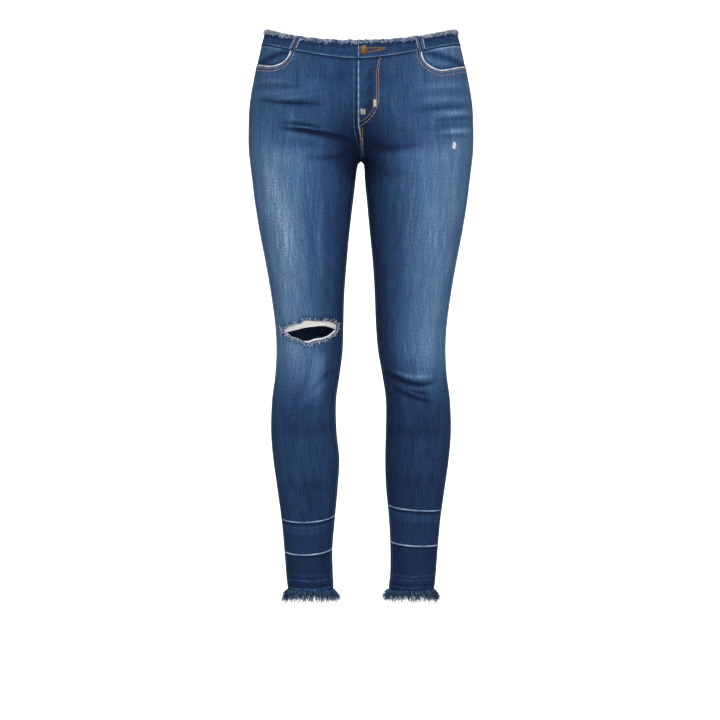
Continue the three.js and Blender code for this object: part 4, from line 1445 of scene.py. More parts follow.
@dataclass
class SlashedKnee:
    """The slash across the right knee, with its white weft threads and frayed rim."""

    top: tuple = ((-125.4, -459), (-119, -456.3), (-112, -452.5), (-105.4, -450.6),
                  (-97.7, -448.9), (-91.7, -446.8), (-88, -443.4), (-76, -444.2), (-64.4, -444.4),
                  (-53.4, -444.8), (-45.5, -446.6), (-39.9, -448.8), (-37.8, -452.6))
    bottom: tuple = ((-39.3, -460), (-44.3, -464.8), (-51.8, -470.1), (-61.2, -473.8),
                     (-72.2, -475.4), (-81.6, -478.2), (-87.1, -478.4), (-94.7, -475.4),
                     (-99.2, -473.2), (-109.9, -470.2), (-114.9, -465.6), (-121.7, -461.6))
    band_low: tuple = ((-119, -462.4), (-102, -458), (-87, -454.4), (-72, -452.9), (-60, -452.2),
                       (-50, -453.4), (-41, -456.4))
    strands: int = 26
    rim_threads: int = 330
    seed: int = 11

    def outline(self) -> Array:
        """The hole's outline in q and z."""
        line = np.vstack([spline(self.top, 4), spline(self.bottom, 4)])
        return np.column_stack([FIGURE.q_at(Side.RIGHT, Face.FRONT, -line[:, 0], line[:, 1]),
                                line[:, 1]])

    def rim_shadow_and_fray(self, tone: Array, q: Array, z: Array) -> Array:
        """Darkens the cloth round the rim with painted shadow and pales its very edge, where it frays."""
        rim = self.outline() * (FIGURE.knee_arc, 1.0)
        near = np.abs(z - rim[:, 1].mean()) < 45
        far = np.full(tone.shape, 1e3)
        far[near] = Opening.measure(rim, np.column_stack([q[near] * FIGURE.knee_arc, z[near]]))[1]
        # The darkening round the rim is painted shadow; the paler very edge is its fray.
        return tone - 0.28 * fade(far, 5.5) + 0.18 * fade(far, 1.5)

    def lay_band(self, high: Array, low: Array, count: int, strands: Strands, out: float) -> None:
        """Lays threads side by side between two lines of x and z.

        Args:
            high: the upper line.
            low: the lower line.
            count: how many threads.
            strands: what the threads join.
            out: how far behind the cloth's surface they lie, in mm.
        """
        rows = []
        for k in range(count):
            share = (k + strands.random.uniform(-0.35, 0.35)) / max(count - 1, 1)
            line = mix(high, low, np.clip(share, 0.0, 1.0))
            wave = 0.25 * np.sin(np.linspace(0, 9, len(line)) + k * 1.3)
            q = FIGURE.q_at(Side.RIGHT, Face.FRONT, -line[:, 0], line[:, 1])
            depth = out + 0.28 * (k % 3)
            rows.append(along_cloth(Side.RIGHT, Face.FRONT, q, line[:, 1] + wave, -depth)[0])
        strands.lay(np.array(rows), strands.random.uniform(0.35, 1.0, count))

    def build(self) -> list[Piece]:
        """Makes the weft threads and the rim's fray.

        Returns:
            The pieces.
        """
        steps = 30
        weft = Strands("knee_weft_threads", WEFT, radius=0.34, steps=steps, sides=5, seed=self.seed)
        x = np.linspace(-122.5, -38.6, steps)
        top = np.array(sorted(spline(self.top, 6).tolist()))
        low = np.array(sorted(spline(self.band_low, 6).tolist()))
        high = np.column_stack([x, np.interp(x, top[:, 0], top[:, 1]) + 1.4])
        under = np.column_stack([x, np.interp(x, low[:, 0], low[:, 1])])
        self.lay_band(high, under, self.strands, weft, 1.2)
        foot = np.array(sorted(spline(self.bottom, 6).tolist()))
        x2 = np.linspace(-88.0, -39.5, steps)
        rim = np.column_stack([x2, np.interp(x2, foot[:, 0], foot[:, 1]) - 0.8])
        self.lay_band(rim, rim + (0.0, 3.4), 9, weft, 1.2)
        x3 = np.linspace(-120.0, -88.0, steps)
        rim = np.column_stack([x3, np.interp(x3, foot[:, 0], foot[:, 1]) - 0.8])
        self.lay_band(rim, rim + (0.0, 1.6), 4, weft, 1.2)
        pieces = [settle(weft.build(), "weft_thread", "rip_threads")]
        fray = Strands("knee_rim_fray", PALE_FRAY, radius=0.3, steps=6, sides=4, seed=self.seed)
        line = self.outline() * (FIGURE.knee_arc, 1.0)
        ring = even_points(np.vstack([line, line[:1]]), 0.4)
        pick = fray.random.integers(0, len(ring), self.rim_threads)
        spots = ring[pick]
        outward = unit(spots - line.mean(axis=0)) * fray.random.uniform(-1.2, 3.0, (len(spots), 1))
        spots = (spots + outward) / (FIGURE.knee_arc, 1.0)
        roots, normals = along_cloth(Side.RIGHT, Face.FRONT, spots[:, 0], spots[:, 1], 0.15)
        centre = np.array([roots[:, 0].mean(), roots[:, 1].mean(), roots[:, 2].mean()])
        away = unit((roots - centre) * (0.4, 0.2, 1.6))
        heading = away + fray.random.normal(0, 0.7, roots.shape) + normals * 0.25
        length = fray.random.uniform(2.0, 6.0, len(roots))
        sag = fray.random.normal(0, 1.0, roots.shape)
        fray.grow(roots, heading, length, sag, 0.45, fray.random.beta(0.7, 0.7, len(roots)))
        pieces.append(settle(fray.build(), "pale_fray"))
        return pieces


@dataclass
class LegPanels:
    """Front and back panels of both legs, from the waist or yoke seam to the upper leg seam."""

    across: int = 78
    pitch: float = 3.1
    wall: float = 1.4
    seam_reach: float = 15.0
    front_cut: tuple = (0.285, 0.745)
    front_area: float = 0.150
    back_cut: tuple = (0.290, 0.705)
    back_area: float = 0.143

    def rows(self, highest: float, lowest: float) -> Array:
        """Heights of a panel's rows, closer together where the legs part."""
        z, heights = highest, []
        while z > lowest + self.pitch * 0.6:
            heights.append(z)
            fine = abs(z - FIGURE.crotch_z) < 14 or -166 < z < -90 or -582 < z < -516
            z -= self.pitch * (0.5 if fine else 1.0)
        return np.array(heights + [lowest])

    def place(self, side: Side, top: Seam) -> tuple[Array, Callable]:
        """Rows of a panel under one seam, and where its grid lies.

        Args:
            side: the wearer's left or right.
            top: the seam above.

        Returns:
            The rows' heights, and what lays the grid.
        """
        highest, lowest = float(top(np.array(0.5))), float(SEAMS.leg(side, False, np.array(0.5)))

        def lay(u: Array, height: Array) -> tuple[Array, Array]:
            """Lays the panel's grid between its seams.

            Args:
                u: how far across, 0 to 1.
                height: the unshaped row's height.

            Returns:
                q and z.
            """
            edge = FIGURE.edge(height)
            q = mix(edge, 1 - edge, u)
            near_top = smooth(height, FIGURE.crotch_z + 10, highest)
            near_low = 1 - smooth(height, lowest, lowest + 130)
            rise = (top(q) - 0.15 - highest) * near_top
            return q, height + rise + (SEAMS.leg(side, False, q) + 0.15 - lowest) * near_low

        return self.rows(highest, lowest), lay

    def lift(self, q: Array, z: Array) -> Array:
        """Stands the cloth off where seam allowances lie under it."""
        arc = FIGURE.arc(z, FIGURE.hip_arc)
        outer = 0.55 * (1 - smooth((1 - q) * arc, 9.0, 12.0))
        inner = 0.45 * (1 - smooth(q * arc, 8.0, 11.0)) * (1 - smooth(z, -195.0, -175.0))
        return outer + inner

    def edge_tone(self, face: Face, tone: Array, q: Array, z: Array) -> Array:
        """Pale worn lines where the felled side seams stand up."""
        arc = FIGURE.arc(z, FIGURE.hip_arc)
        reach = self.seam_reach if face is Face.FRONT else 6.0
        outer = fade((1 - q) * arc - reach, 2.6)
        inner = fade(q * arc - reach * 0.8, 2.4) * (1 - smooth(z, -215.0, -180.0))
        return tone + 0.05 * outer + 0.05 * inner

    def build(self, pockets: ScoopPockets, knee: SlashedKnee) -> list[Piece]:
        """Makes the four panels.

        Args:
            pockets: whose openings are cut from the fronts.
            knee: whose slash is cut from the right front.

        Returns:
            The panels.
        """
        made = []
        for side in Side:
            name = side.name.lower()
            for face in Face:
                front = face is Face.FRONT
                top = (lambda q: SEAMS.waist_seam(-1.0, q)) if front else SEAMS.yoke
                rows, lay = self.place(side, top)
                across = self.across if front else self.across - 18
                openings: list[Opening] = [pockets.opening(side)] if front else []
                slashed = front and side is Side.RIGHT
                if slashed:
                    openings.append(Opening(knee.outline(), FIGURE.knee_arc))

                def tint(tone: Array, q: Array, x: Array, z: Array, face: Face = face,
                         slashed: bool = slashed, top: Seam = top) -> Array:
                    """The wash, worn seams, painted shade under the top seam and the slash's painted
                    shadow and fray.

                    Args:
                        tone: the wash's own tone.
                        q: how far from the middle to the outseam, 0 to 1.
                        x: place across, in mm; not used.
                        z: height, in mm.
                        face: front or back.
                        slashed: True on the panel with the slash.
                        top: the seam above.

                    Returns:
                        The tones.
                    """
                    tone = self.edge_tone(face, tone, q, z)
                    if slashed:
                        tone = knee.rim_shadow_and_fray(tone, q, z)
                    # Painted shade just under the seam above, where the waistband or the yoke laps over.
                    return tone - 0.34 * fade(top(q) - z, 2.6)

                piece = ClothPiece(f"{face.name.lower()}_leg_{name}", side, face, WASHED,
                                   spread(across), rows, lay, wall=self.wall,
                                   pitch=self.pitch, openings=tuple(openings), lift=self.lift,
                                   tint=tint).build()
                settle(piece, "washed_denim", f"{face.name.lower()}_panel_{name}")
                made.append(piece)
        return made


@dataclass
class Yokes:
    """The two yokes between the waistband and the back panels."""

    across: int = 60
    cut: tuple = (0.245, 0.070)
    area: float = 0.0127

    def build(self, stitches: StitchRows) -> list[Piece]:
        """Makes both yokes and their double topstitching.

        Args:
            stitches: the rows that its topstitching joins.

        Returns:
            The pieces.
        """
        made = []
        for side in Side:
            def place(u: Array, s: Array) -> tuple[Array, Array]:
                """Lays the yoke's grid.

                Args:
                    u: how far across, 0 to 1.
                    s: how far down, 0 to 1.

                Returns:
                    q and z.
                """
                edge = FIGURE.edge(0.0)
                q = mix(edge, 1 - edge, u)
                return q, mix(SEAMS.waist_seam(1.0, q) - 0.15, SEAMS.yoke(q) + 0.15, s)

            def tint(tone: Array, q: Array, x: Array, z: Array) -> Array:
                """Paler over the lower seam, with painted shade under the waist seam.

                Args:
                    tone: the wash's own tone.
                    q: how far from the middle to the outseam, 0 to 1.
                    x: place across, in mm; not used.
                    z: height, in mm.

                Returns:
                    The tones.
                """
                low = 0.3 * fade(z - SEAMS.yoke(q) - 1.2, 1.4)
                # The darkening under the waist seam is painted shade.
                return tone + low - 0.2 * fade(SEAMS.waist_seam(1.0, q) - z, 3.0)

            def lift(q: Array, z: Array) -> Array:
                """Stands the cloth off where the yoke seam's allowance lies under it."""
                return 0.7 * (1 - smooth(z - SEAMS.yoke(q), 8.0, 11.0))

            piece = ClothPiece(f"seat_yoke_{side.name.lower()}", side, Face.BACK, WASHED,
                               spread(self.across), spread(18), place, lift=lift,
                               tint=tint).build()
            settle(piece, "washed_denim", f"yoke_{side.name.lower()}")
            q = np.linspace(0.01, 0.99, 60)
            for rise in (2.4, 7.0):
                stitches.row(side, Face.BACK, q, SEAMS.yoke(q) + rise, 0.8)
            made.append(piece)
        return made


@dataclass
class Waistband:
    """The doubled waistband with its lapped front, its seam ridge and its raw, frayed top."""

    wall: float = 2.2
    across: int = 66
    fuzz: int = 4200
    curls: int = 900
    seed: int = 7
    left_cut: tuple = (0.210, 0.028)
    right_cut: tuple = (0.247, 0.028)
    back_cut: tuple = (0.415, 0.030)
    lap_end: float = -0.17

    @staticmethod
    def tint(face: float) -> Callable:
        """Tone of the band: dark, pale at the raw top, lighter along the lower seam.

        Args:
            face: -1 for the front, 1 for the back.

        Returns:
            What gives the tone.
        """

        def tone_of(tone: Array, q: Array, x: Array, z: Array) -> Array:
            """The band's tones.

            Args:
                tone: the wash's own tone; not used.
                q: how far from the middle to the outseam, 0 to 1.
                x: place across, in mm.
                z: height, in mm.

            Returns:
                The tones.
            """
            q = np.abs(q)
            top, foot = SEAMS.waist_top(face, q), SEAMS.waist_seam(face, q)
            base = 0.26 + 0.07 * smooth(q, 0.4, 1.0) + 0.05 * np.sin(x * 0.21) * np.sin(z * 0.3 + x)
            patch = 0.5 + 0.5 * np.sin(x * 0.37 + 1.0) * np.sin(x * 0.117)
            raw = 0.62 * patch * fade(top - z, 3.6)
            raw = raw - 0.14 * fade(top - 8 - z, 3.0)
            ripple = np.sin(z * 0.75 + 1.6 * np.sin(x * 0.07)) * np.sin(x * 0.13 + 2.0)
            raw = raw + 0.05 * ripple * smooth(z - foot, 4.0, 10.0)
            return base + raw + 0.10 * fade(z - foot - 1.4, 1.3)

        return tone_of

    def piece(self, name: str, side: Side, face: Face, columns: Array,
              lift: Optional[Callable] = None) -> Piece:
        """Lays one length of the band.

        Args:
            name: its name.
            side: the wearer's left or right.
            face: front or back.
            columns: where its columns lie.
            lift: what it stands off by, besides its own ripple.

        Returns:
            The piece.
        """
        def place(q: Array, s: Array) -> tuple[Array, Array]:
            """Lays the band's grid, with an uneven top edge.

            Args:
                q: how far from the middle to the outseam, 0 to 1.
                s: how far down, 0 to 1.

            Returns:
                q and z.
            """
            t = np.abs(q)
            torn = 0.9 * np.sin(q * 97.0) * np.sin(q * 41.0 + 2.0) + 0.6 * np.sin(q * 173.0)
            return q, mix(SEAMS.waist_top(face.value, t) - 0.3 + torn,
                          SEAMS.waist_seam(face.value, t) + 0.15, s)

        def raise_edge(q: Array, z: Array) -> Array:
            """Stands the lower edge off and ripples the top.

            Args:
                q: how far from the middle to the outseam, 0 to 1.
                z: height, in mm.

            Returns:
                How far the cloth stands off, in mm.
            """
            foot = SEAMS.waist_seam(face.value, np.abs(q))
            ripple = 0.35 * np.sin(q * 61.0) * smooth(z - foot, 12.0, 26.0)
            return 0.5 * (1 - smooth(z - foot, 2.0, 4.0)) + ripple + (lift(q, z) if lift else 0.0)

        return ClothPiece(name, side, face, WAIST, columns, spread(14), place, wall=self.wall,
                          lift=raise_edge, tint=self.tint(face.value)).build()

    def build(self, stitches: StitchRows) -> list[Piece]:
        """Makes the band's three lengths and the fray on them.

        Args:
            stitches: the rows that its dark tone-on-tone stitches join.

        Returns:
            The pieces.
        """
        edge = float(FIGURE.edge(0.0))
        left = self.piece("waist_front_left", Side.LEFT, Face.FRONT,
                          np.linspace(edge, 1 - edge, self.across))
        lap = np.concatenate([np.linspace(self.lap_end, 0.012, 16),
                              np.linspace(0.03, 1 - edge, self.across)])
        right = self.piece("waist_front_right", Side.RIGHT, Face.FRONT, lap,
                           lambda q, z: -2.9 * (1 - smooth(q, 0.012, 0.03)))
        back = self.piece("waist_back", Side.LEFT, Face.BACK,
                          np.linspace(-1 + edge, 1 - edge, 2 * self.across))
        made = [settle(left, "waist_denim", "waistband_front_left"),
                settle(right, "waist_denim", "waistband_front_right"),
                settle(back, "waist_denim", "waistband_back")]
        z = np.linspace(-11.5, -38.6, 22)
        path, normals = along_cloth(Side.LEFT, Face.FRONT, np.full(z.shape, 0.0075), z, 0.3)
        shade = 0.72 + 0.06 * np.sin(np.arange(len(z)) * 0.9)
        made.append(settle(ridge_object("waist_lap_edge", path, normals, 0.8, 0.7, shade),
                           "waist_denim"))
        q = np.linspace(0.02, 0.985, 70)
        for side in Side:
            for face in Face:
                foot = SEAMS.waist_seam(face.value, q)
                stitches.row(side, face, q, foot + 2.6, 0.3)
        made.append(self.fray())
        return made

    def fray(self) -> Piece:
        """Grows the fuzz and curls of the raw edge."""
        fray = Strands("waist_raw_fray", PALE_FRAY, radius=0.36, steps=6, sides=3, seed=self.seed)
        r = fray.random
        for count, long, drop in ((self.fuzz, 4.4, 5.0), (self.curls, 8.0, 6.0)):
            side = r.choice([-1.0, 1.0], count)
            face = r.choice([-1.0, -1.0, 1.0], count)
            q = r.uniform(0.001, 0.999, count)
            top = SEAMS.waist_top(face, q)
            clump = 0.65 + 0.45 * np.sin(q * 83.0 + side * 2.0) * np.sin(q * 31.0 + 1.0)
            z = top + r.uniform(-drop, 0.6, count)
            points, normals = FIGURE.cloth(side, face, q, z)
            roots = points + normals * r.uniform(-2.0, 0.6, (count, 1))
            along = unit(np.cross(normals, UP))
            sway = r.normal(0.0, 1.1, (count, 1))
            heading = along * sway + normals * r.uniform(-0.1, 0.5, (count, 1))
            heading = heading + UP * r.uniform(-0.3, 0.7, (count, 1))
            length = r.uniform(0.4, 1.0, count) * long * clump
            bend = np.column_stack([r.normal(0, 1.0, count), r.normal(0, 0.5, count),
                                    r.uniform(-2.2, 0.4, count)])
            whiter = 0.72 + 0.34 * np.sin(q * 67.0 + side * 1.3) * np.sin(q * 29.0 + 0.6)
            fray.grow(roots, heading, length, bend, 0.45, whiter * r.beta(0.9, 0.55, count))
        return settle(fray.build(), "pale_fray", "waist_fray")


@dataclass
class SeamRidges:
    """Worn ridges along the waist seam, the legs' seams and the leg bands' seams."""

    hip_arc: float = 240.0

    def across(self, name: str, side: Side, face: Face, line: Seam, half_width: float,
               height: float, tone: float, out: float, slot: str,
               span: tuple = (0.004, 0.996)) -> Piece:
        """Lays a ridge along a seam that runs from the middle to the outseam.

        Args:
            name: its name.
            side: the wearer's left or right.
            face: front or back.
            line: the seam's height at q.
            half_width: half its width, in mm.
            height: how high it stands, in mm.
            tone: its tone.
            out: how far out it lies, in mm.
            slot: its material slot.
            span: where it starts and ends.

        Returns:
            The ridge.
        """
        q = np.linspace(*span, 90)
        path, normals = along_cloth(side, face, q, line(q), out)
        packed = even_points(np.hstack([path, normals]), 2.2)
        wave = np.arange(len(packed))
        shade = tone + 0.05 * np.sin(wave * 0.31) + 0.03 * np.sin(wave * 0.83)
        made = ridge_object(name, packed[:, :3], packed[:, 3:], half_width, height, shade)
        return settle(made, slot)

    def down(self, name: str, side: Side, face: Face, inset: float, outer: bool,
             span: tuple, lighter: float, slot: str) -> Piece:
        """Lays a thin ridge down a leg, along its outseam or inseam.

        Args:
            name: the piece's name.
            side: which leg.
            face: front or back.
            inset: how far it lies from the seam.
            outer: True along the outseam.
            span: its highest and lowest height.
            lighter: how much paler it is than the cloth beside it.
            slot: its material slot.

        Returns:
            The ridge.
        """
        z = np.linspace(*span, 160)
        arc = FIGURE.arc(z, self.hip_arc)
        q = 1 - inset / arc if outer else inset / arc
        path, normals = along_cloth(side, face, q, z, 0.35)
        shade = WEAR_AND_SHADE.tone(face.value, q, path[:, 0], z) + lighter
        shade = shade + 0.06 * np.sin(z * 0.7) * np.sin(z * 0.23)
        shade = np.where(z < SEAMS.leg(side, False, np.array(0.5)), 0.42, shade)
        return settle(ridge_object(name, path, normals, 0.85, 0.6, shade), slot)

    def allowances(self) -> list[Piece]:
        """Makes the seam allowances that lie in the wall behind every seam, so that none gapes."""
        made = []

        def strip(name: str, side: Side, face: Face, q: Array, z: Array, deep: float = 0.75,
                  slot: str = "washed_denim") -> None:
            """Lays one strip behind a seam.

            Args:
                name: its name.
                side: the wearer's left or right.
                face: front or back.
                q: how far from the middle to the outseam, 0 to 1.
                z: height, in mm.
                deep: how far behind the surface it lies, in mm.
                slot: its material slot.
            """
            path, normals = along_cloth(side, face, q, z, -deep)
            shade = np.full(len(path), 0.26)
            made.append(settle(ridge_object(name, path, normals, 1.5, 0.55, shade), slot))

        z = np.linspace(-9.0, -192.0, 90)
        strip("seat_seam_allowance", Side.LEFT, Face.BACK, np.zeros(90), z)
        down, q = np.linspace(-4.0, -872.0, 240), np.linspace(0.003, 0.997, 90)
        low = np.linspace(-194.0, -872.0, 200)
        for side in Side:
            tag = side.name.lower()
            strip(f"outseam_allowance_{tag}", side, Face.FRONT, np.ones(240), down)
            strip(f"inseam_allowance_{tag}", side, Face.FRONT, np.zeros(200), low)
            strip(f"yoke_allowance_{tag}", side, Face.BACK, q, SEAMS.yoke(q))
            for face in Face:
                where = f"{face.name.lower()}_{tag}"
                strip(f"waist_allowance_{where}", side, face, q, SEAMS.waist_seam(face.value, q))
                for lower in (False, True):
                    level = "lower" if lower else "upper"
                    strip(f"band_allowance_{level}_{where}", side, face, q,
                          SEAMS.leg(side, lower, q), slot="dark_denim")
        return made

    def build(self) -> list[Piece]:
        """Makes every ridge."""
        made = self.allowances()
        for side in Side:
            for face in Face:
                tag = f"{face.name.lower()}_{side.name.lower()}"
                inset = 16.0 if face is Face.FRONT else 5.0
                made.append(self.down(f"outseam_ridge_{tag}", side, face, inset, True,
                                      (-64.0, -872.0), 0.20, "washed_denim"))
                made.append(self.down(f"inseam_ridge_{tag}", side, face, inset, False,
                                      (-222.0, -872.0), 0.26, "washed_denim"))
                made.append(self.across(
                    f"waist_ridge_{tag}", side, face,
                    lambda q, f=face: SEAMS.waist_seam(f.value, q) + 1.0, 0.7, 0.6, 0.66, 0.1,
                    "waist_denim"))
                for lower, tone in ((False, 0.78), (True, 0.82)):
                    made.append(self.across(
                        f"band_ridge_{'lower' if lower else 'upper'}_{tag}", side, face,
                        lambda q, s=side, k=lower: SEAMS.leg(s, k, q) + 1.0, 1.0, 0.9, tone, 0.1,
                        "dark_denim"))
        return made


@dataclass
class Fly:
    """The fly: its folded edge, the shield behind it, J-shaped stitching and bartacks."""

    foot_z: float = -146.0
    edge_top: float = -42.5
    edge_foot: float = -186.0
    double: float = 3.0
    cut: tuple = (0.033, 0.112)

    def line(self, points: Sequence[Sequence[float]]) -> tuple[Array, Array]:
        """q and z of a smooth line given by x and z on the left front."""
        path = spline(points, 8)
        return FIGURE.q_at(Side.LEFT, Face.FRONT, path[:, 0], path[:, 1]), path[:, 1]

    def build(self, stitches: StitchRows, tacks: StitchRows) -> list[Piece]:
        """Makes the shield and the folded edge, and adds the stitches.

        Args:
            stitches: tan topstitching.
            tacks: pale bartacks.

        Returns:
            The pieces.
        """
        def place(u: Array, s: Array) -> tuple[Array, Array]:
            """Lays the shield's grid.

            Args:
                u: how far across, 0 to 1.
                s: how far down, 0 to 1.

            Returns:
                q and z.
            """
            edge = FIGURE.edge(-80.0)
            q = mix(edge, 0.125, u)
            return q, mix(SEAMS.waist_seam(-1.0, q) - 0.15, self.foot_z + 10 * u, s)

        shield = ClothPiece("fly_shield", Side.LEFT, Face.FRONT, WAIST, spread(12), spread(34),
                            place, stand_off=-1.7).build()
        settle(shield, "waist_denim", "fly_placket")
        made = [shield]
        z = np.linspace(self.edge_top, self.edge_foot, 90)
        for name, q, tone, out, wide in (
                ("fly_folded_edge", 0.0075, 0.78, 0.25, 0.85), ("fly_shade_line", -0.006, 0.02, 0.1, 0.8),
                ("fly_under_edge", -0.019, 0.52, 0.05, 0.6)):
            path, normals = along_cloth(Side.LEFT, Face.FRONT, np.full(z.shape, q), z, out)
            packed = even_points(np.hstack([path, normals]), 2.2)
            wave = np.arange(len(packed))
            drop = smooth(-packed[:, 2], 150.0, 186.0) * 0.25
            shade = tone + 0.08 * np.sin(wave * 1.1) - drop
            edge = ridge_object(name, packed[:, :3], packed[:, 3:], wide, 0.75, shade)
            made.append(settle(edge, "washed_denim"))
        outer = ((30, -39), (28.4, -48), (27.2, -60), (27.4, -80), (27.2, -98), (25.2, -112),
                 (19.0, -126), (8.6, -136.8), (-3.0, -143.5))
        inner = ((27, -42), (25.4, -50), (24.1, -61), (24.2, -80), (24.0, -96), (22.2, -109),
                 (16.4, -121.6), (7.4, -131.4), (-3.2, -137.6))
        for points in (outer, inner):
            stitches.row(Side.LEFT, Face.FRONT, *self.line(points))
        for x in (-1.2, 2.4):
            stitches.row(Side.LEFT, Face.FRONT, *self.line(((x, -146), (x + 0.4, -166), (x + 1.6, -184))))
        self.tack(tacks, 21.5, -108.5, 4.6, 11.0)
        self.tack(tacks, 2.6, -121.5, 8.6, 7.6)
        return made

    @staticmethod
    def tack(tacks: StitchRows, x: float, z: float, width: float, height: float) -> None:
        """Adds a bartack: three dense upright bars of short stitches."""
        rows = np.arange(-height / 2, height / 2, 1.05)
        for shift in (-width / 3, 0.0, width / 3):
            zs = z + rows
            q = FIGURE.q_at(Side.LEFT, Face.FRONT, np.full(zs.shape, x + shift), zs)
            points, normals = along_cloth(Side.LEFT, Face.FRONT, q, zs, 0.45)
            across = unit(np.cross(normals, UP) + (0.0, 0.0, 0.35))
            tacks.satin(points, normals, across)


@dataclass
class Buttonhole:
    """The worked eye of the buttonhole, long and tapering to the wearer's left."""

    x: float = 4.0
    z: float = -26.0
    reach: float = 34.0
    rise: float = 3.4

    def build(self, thread: StitchRows) -> None:
        """Adds satin stitches on both sides of the slot.

        Args:
            thread: the brown rows that they join.
        """
        x = np.arange(self.x + 7.0, self.x + self.reach, 0.7)
        share = (x - x[0]) / (x[-1] - x[0])
        middle = self.z + 3.0 * share
        for sign in (-1.0, 1.0):
            z = middle + sign * mix(self.rise, 0.5, share)
            q = FIGURE.q_at(Side.LEFT, Face.FRONT, x, z)
            points, normals = along_cloth(Side.LEFT, Face.FRONT, q, z, 0.35)
            lean = unit(np.column_stack([np.full(len(x), 0.55 * sign), np.zeros(len(x)),
                                         np.ones(len(x))]))
            thread.satin(points, normals, lean)


@dataclass
class BeltLoops:
    """Five plain strips laid flat on the waistband."""

    width: float = 11.0
    wall: float = 1.4
    waist_arc: float = 210.0
    cuts: tuple = (0.0275, 0.0275, 0.034, 0.034, 0.040)

    def build(self, stitches: StitchRows) -> list[Piece]:
        """Makes the loops with their two rows of stitches each."""
        plan = (("front_left", Side.LEFT, Face.FRONT, 92.0, 94.0),
                ("front_right", Side.RIGHT, Face.FRONT, 92.0, 99.0),
                ("back_left", Side.LEFT, Face.BACK, 88.0, 88.0),
                ("back_right", Side.RIGHT, Face.BACK, 88.0, 88.0),
                ("back_centre", Side.LEFT, Face.BACK, 0.0, 0.0))
        return [self.loop(stitches, long, *row) for long, row in zip(self.cuts, plan)]

    def loop(self, stitches: StitchRows, long: float, name: str, side: Side, face: Face,
             top_x: float, foot_x: float) -> Piece:
        """Makes one loop.

        Args:
            stitches: the rows that its topstitching joins.
            long: its cut length, in metres; not used.
            name: its name.
            side: the wearer's left or right.
            face: front or back.
            top_x: place across of its top, in mm.
            foot_x: place across of its foot, in mm.

        Returns:
            The loop.
        """
        half = self.width / 2 / self.waist_arc

        def middle(s: Array) -> Array:
            """q of the loop's middle line."""
            x = mix(top_x, foot_x, s)
            return (2 / np.pi) * np.arcsin(x / FIGURE.station(FIGURE.legs, 1, 0.0))

        centre = float(middle(np.array(0.5)))
        high = float(SEAMS.waist_top(face.value, np.array(centre))) - 1.0
        low = float(SEAMS.waist_seam(face.value, np.array(centre))) + 1.0

        def place(u: Array, s: Array) -> tuple[Array, Array]:
            """Lays the loop's grid."""
            return middle(s) + (u * 2 - 1) * half, mix(high, low, s)

        def lift(q: Array, z: Array) -> Array:
            """Bows the loop out between its ends and raises its folded edges.

            Args:
                q: how far from the middle to the outseam, 0 to 1.
                z: height, in mm.

            Returns:
                How far the cloth stands off, in mm.
            """
            s = (high - z) / (high - low)
            across = np.abs(q - middle(s)) / half
            return 0.6 * np.sin(np.pi * np.clip(s, 0, 1)) + 0.45 * smooth(across, 0.62, 0.8)

        def tint(tone: Array, q: Array, x: Array, z: Array) -> Array:
            """Paler at the folded edges and the top.

            Args:
                tone: the wash's own tone; not used.
                q: how far from the middle to the outseam, 0 to 1.
                x: place across, in mm; not used.
                z: height, in mm.

            Returns:
                The tones.
            """
            s = (high - z) / (high - low)
            across = np.abs(q - middle(s)) / half
            return 0.30 + 0.1 * fade(across - 0.93, 0.1) + 0.2 * smooth(z, high - 3, high)

        piece = ClothPiece(f"belt_strip_{name}", side, face, WAIST, spread(14), spread(16), place,
                           stand_off=1.9, wall=self.wall, lift=lift, tint=tint).build()
        settle(piece, "waist_denim", f"belt_loop_{name}")
        z = np.linspace(high - 0.5, low + 0.5, 14)
        s = (high - z) / (high - low)
        for share in (-0.42, 0.42):
            stitches.row(side, face, middle(s) + share * half, z, 2.7)
        for tag, share in (("inner", -0.94), ("outer", 0.94)):
            path, normals = along_cloth(side, face, middle(s) + share * half, z,
                                        2.2 + 0.6 * np.sin(np.pi * s))
            shade = 0.80 + 0.08 * np.sin(np.arange(len(path)) * 1.9)
            rib = ridge_object(f"belt_strip_{name}_{tag}_edge", path, normals, 0.75, 0.6, shade)
            settle(rib, "waist_denim")
        return piece


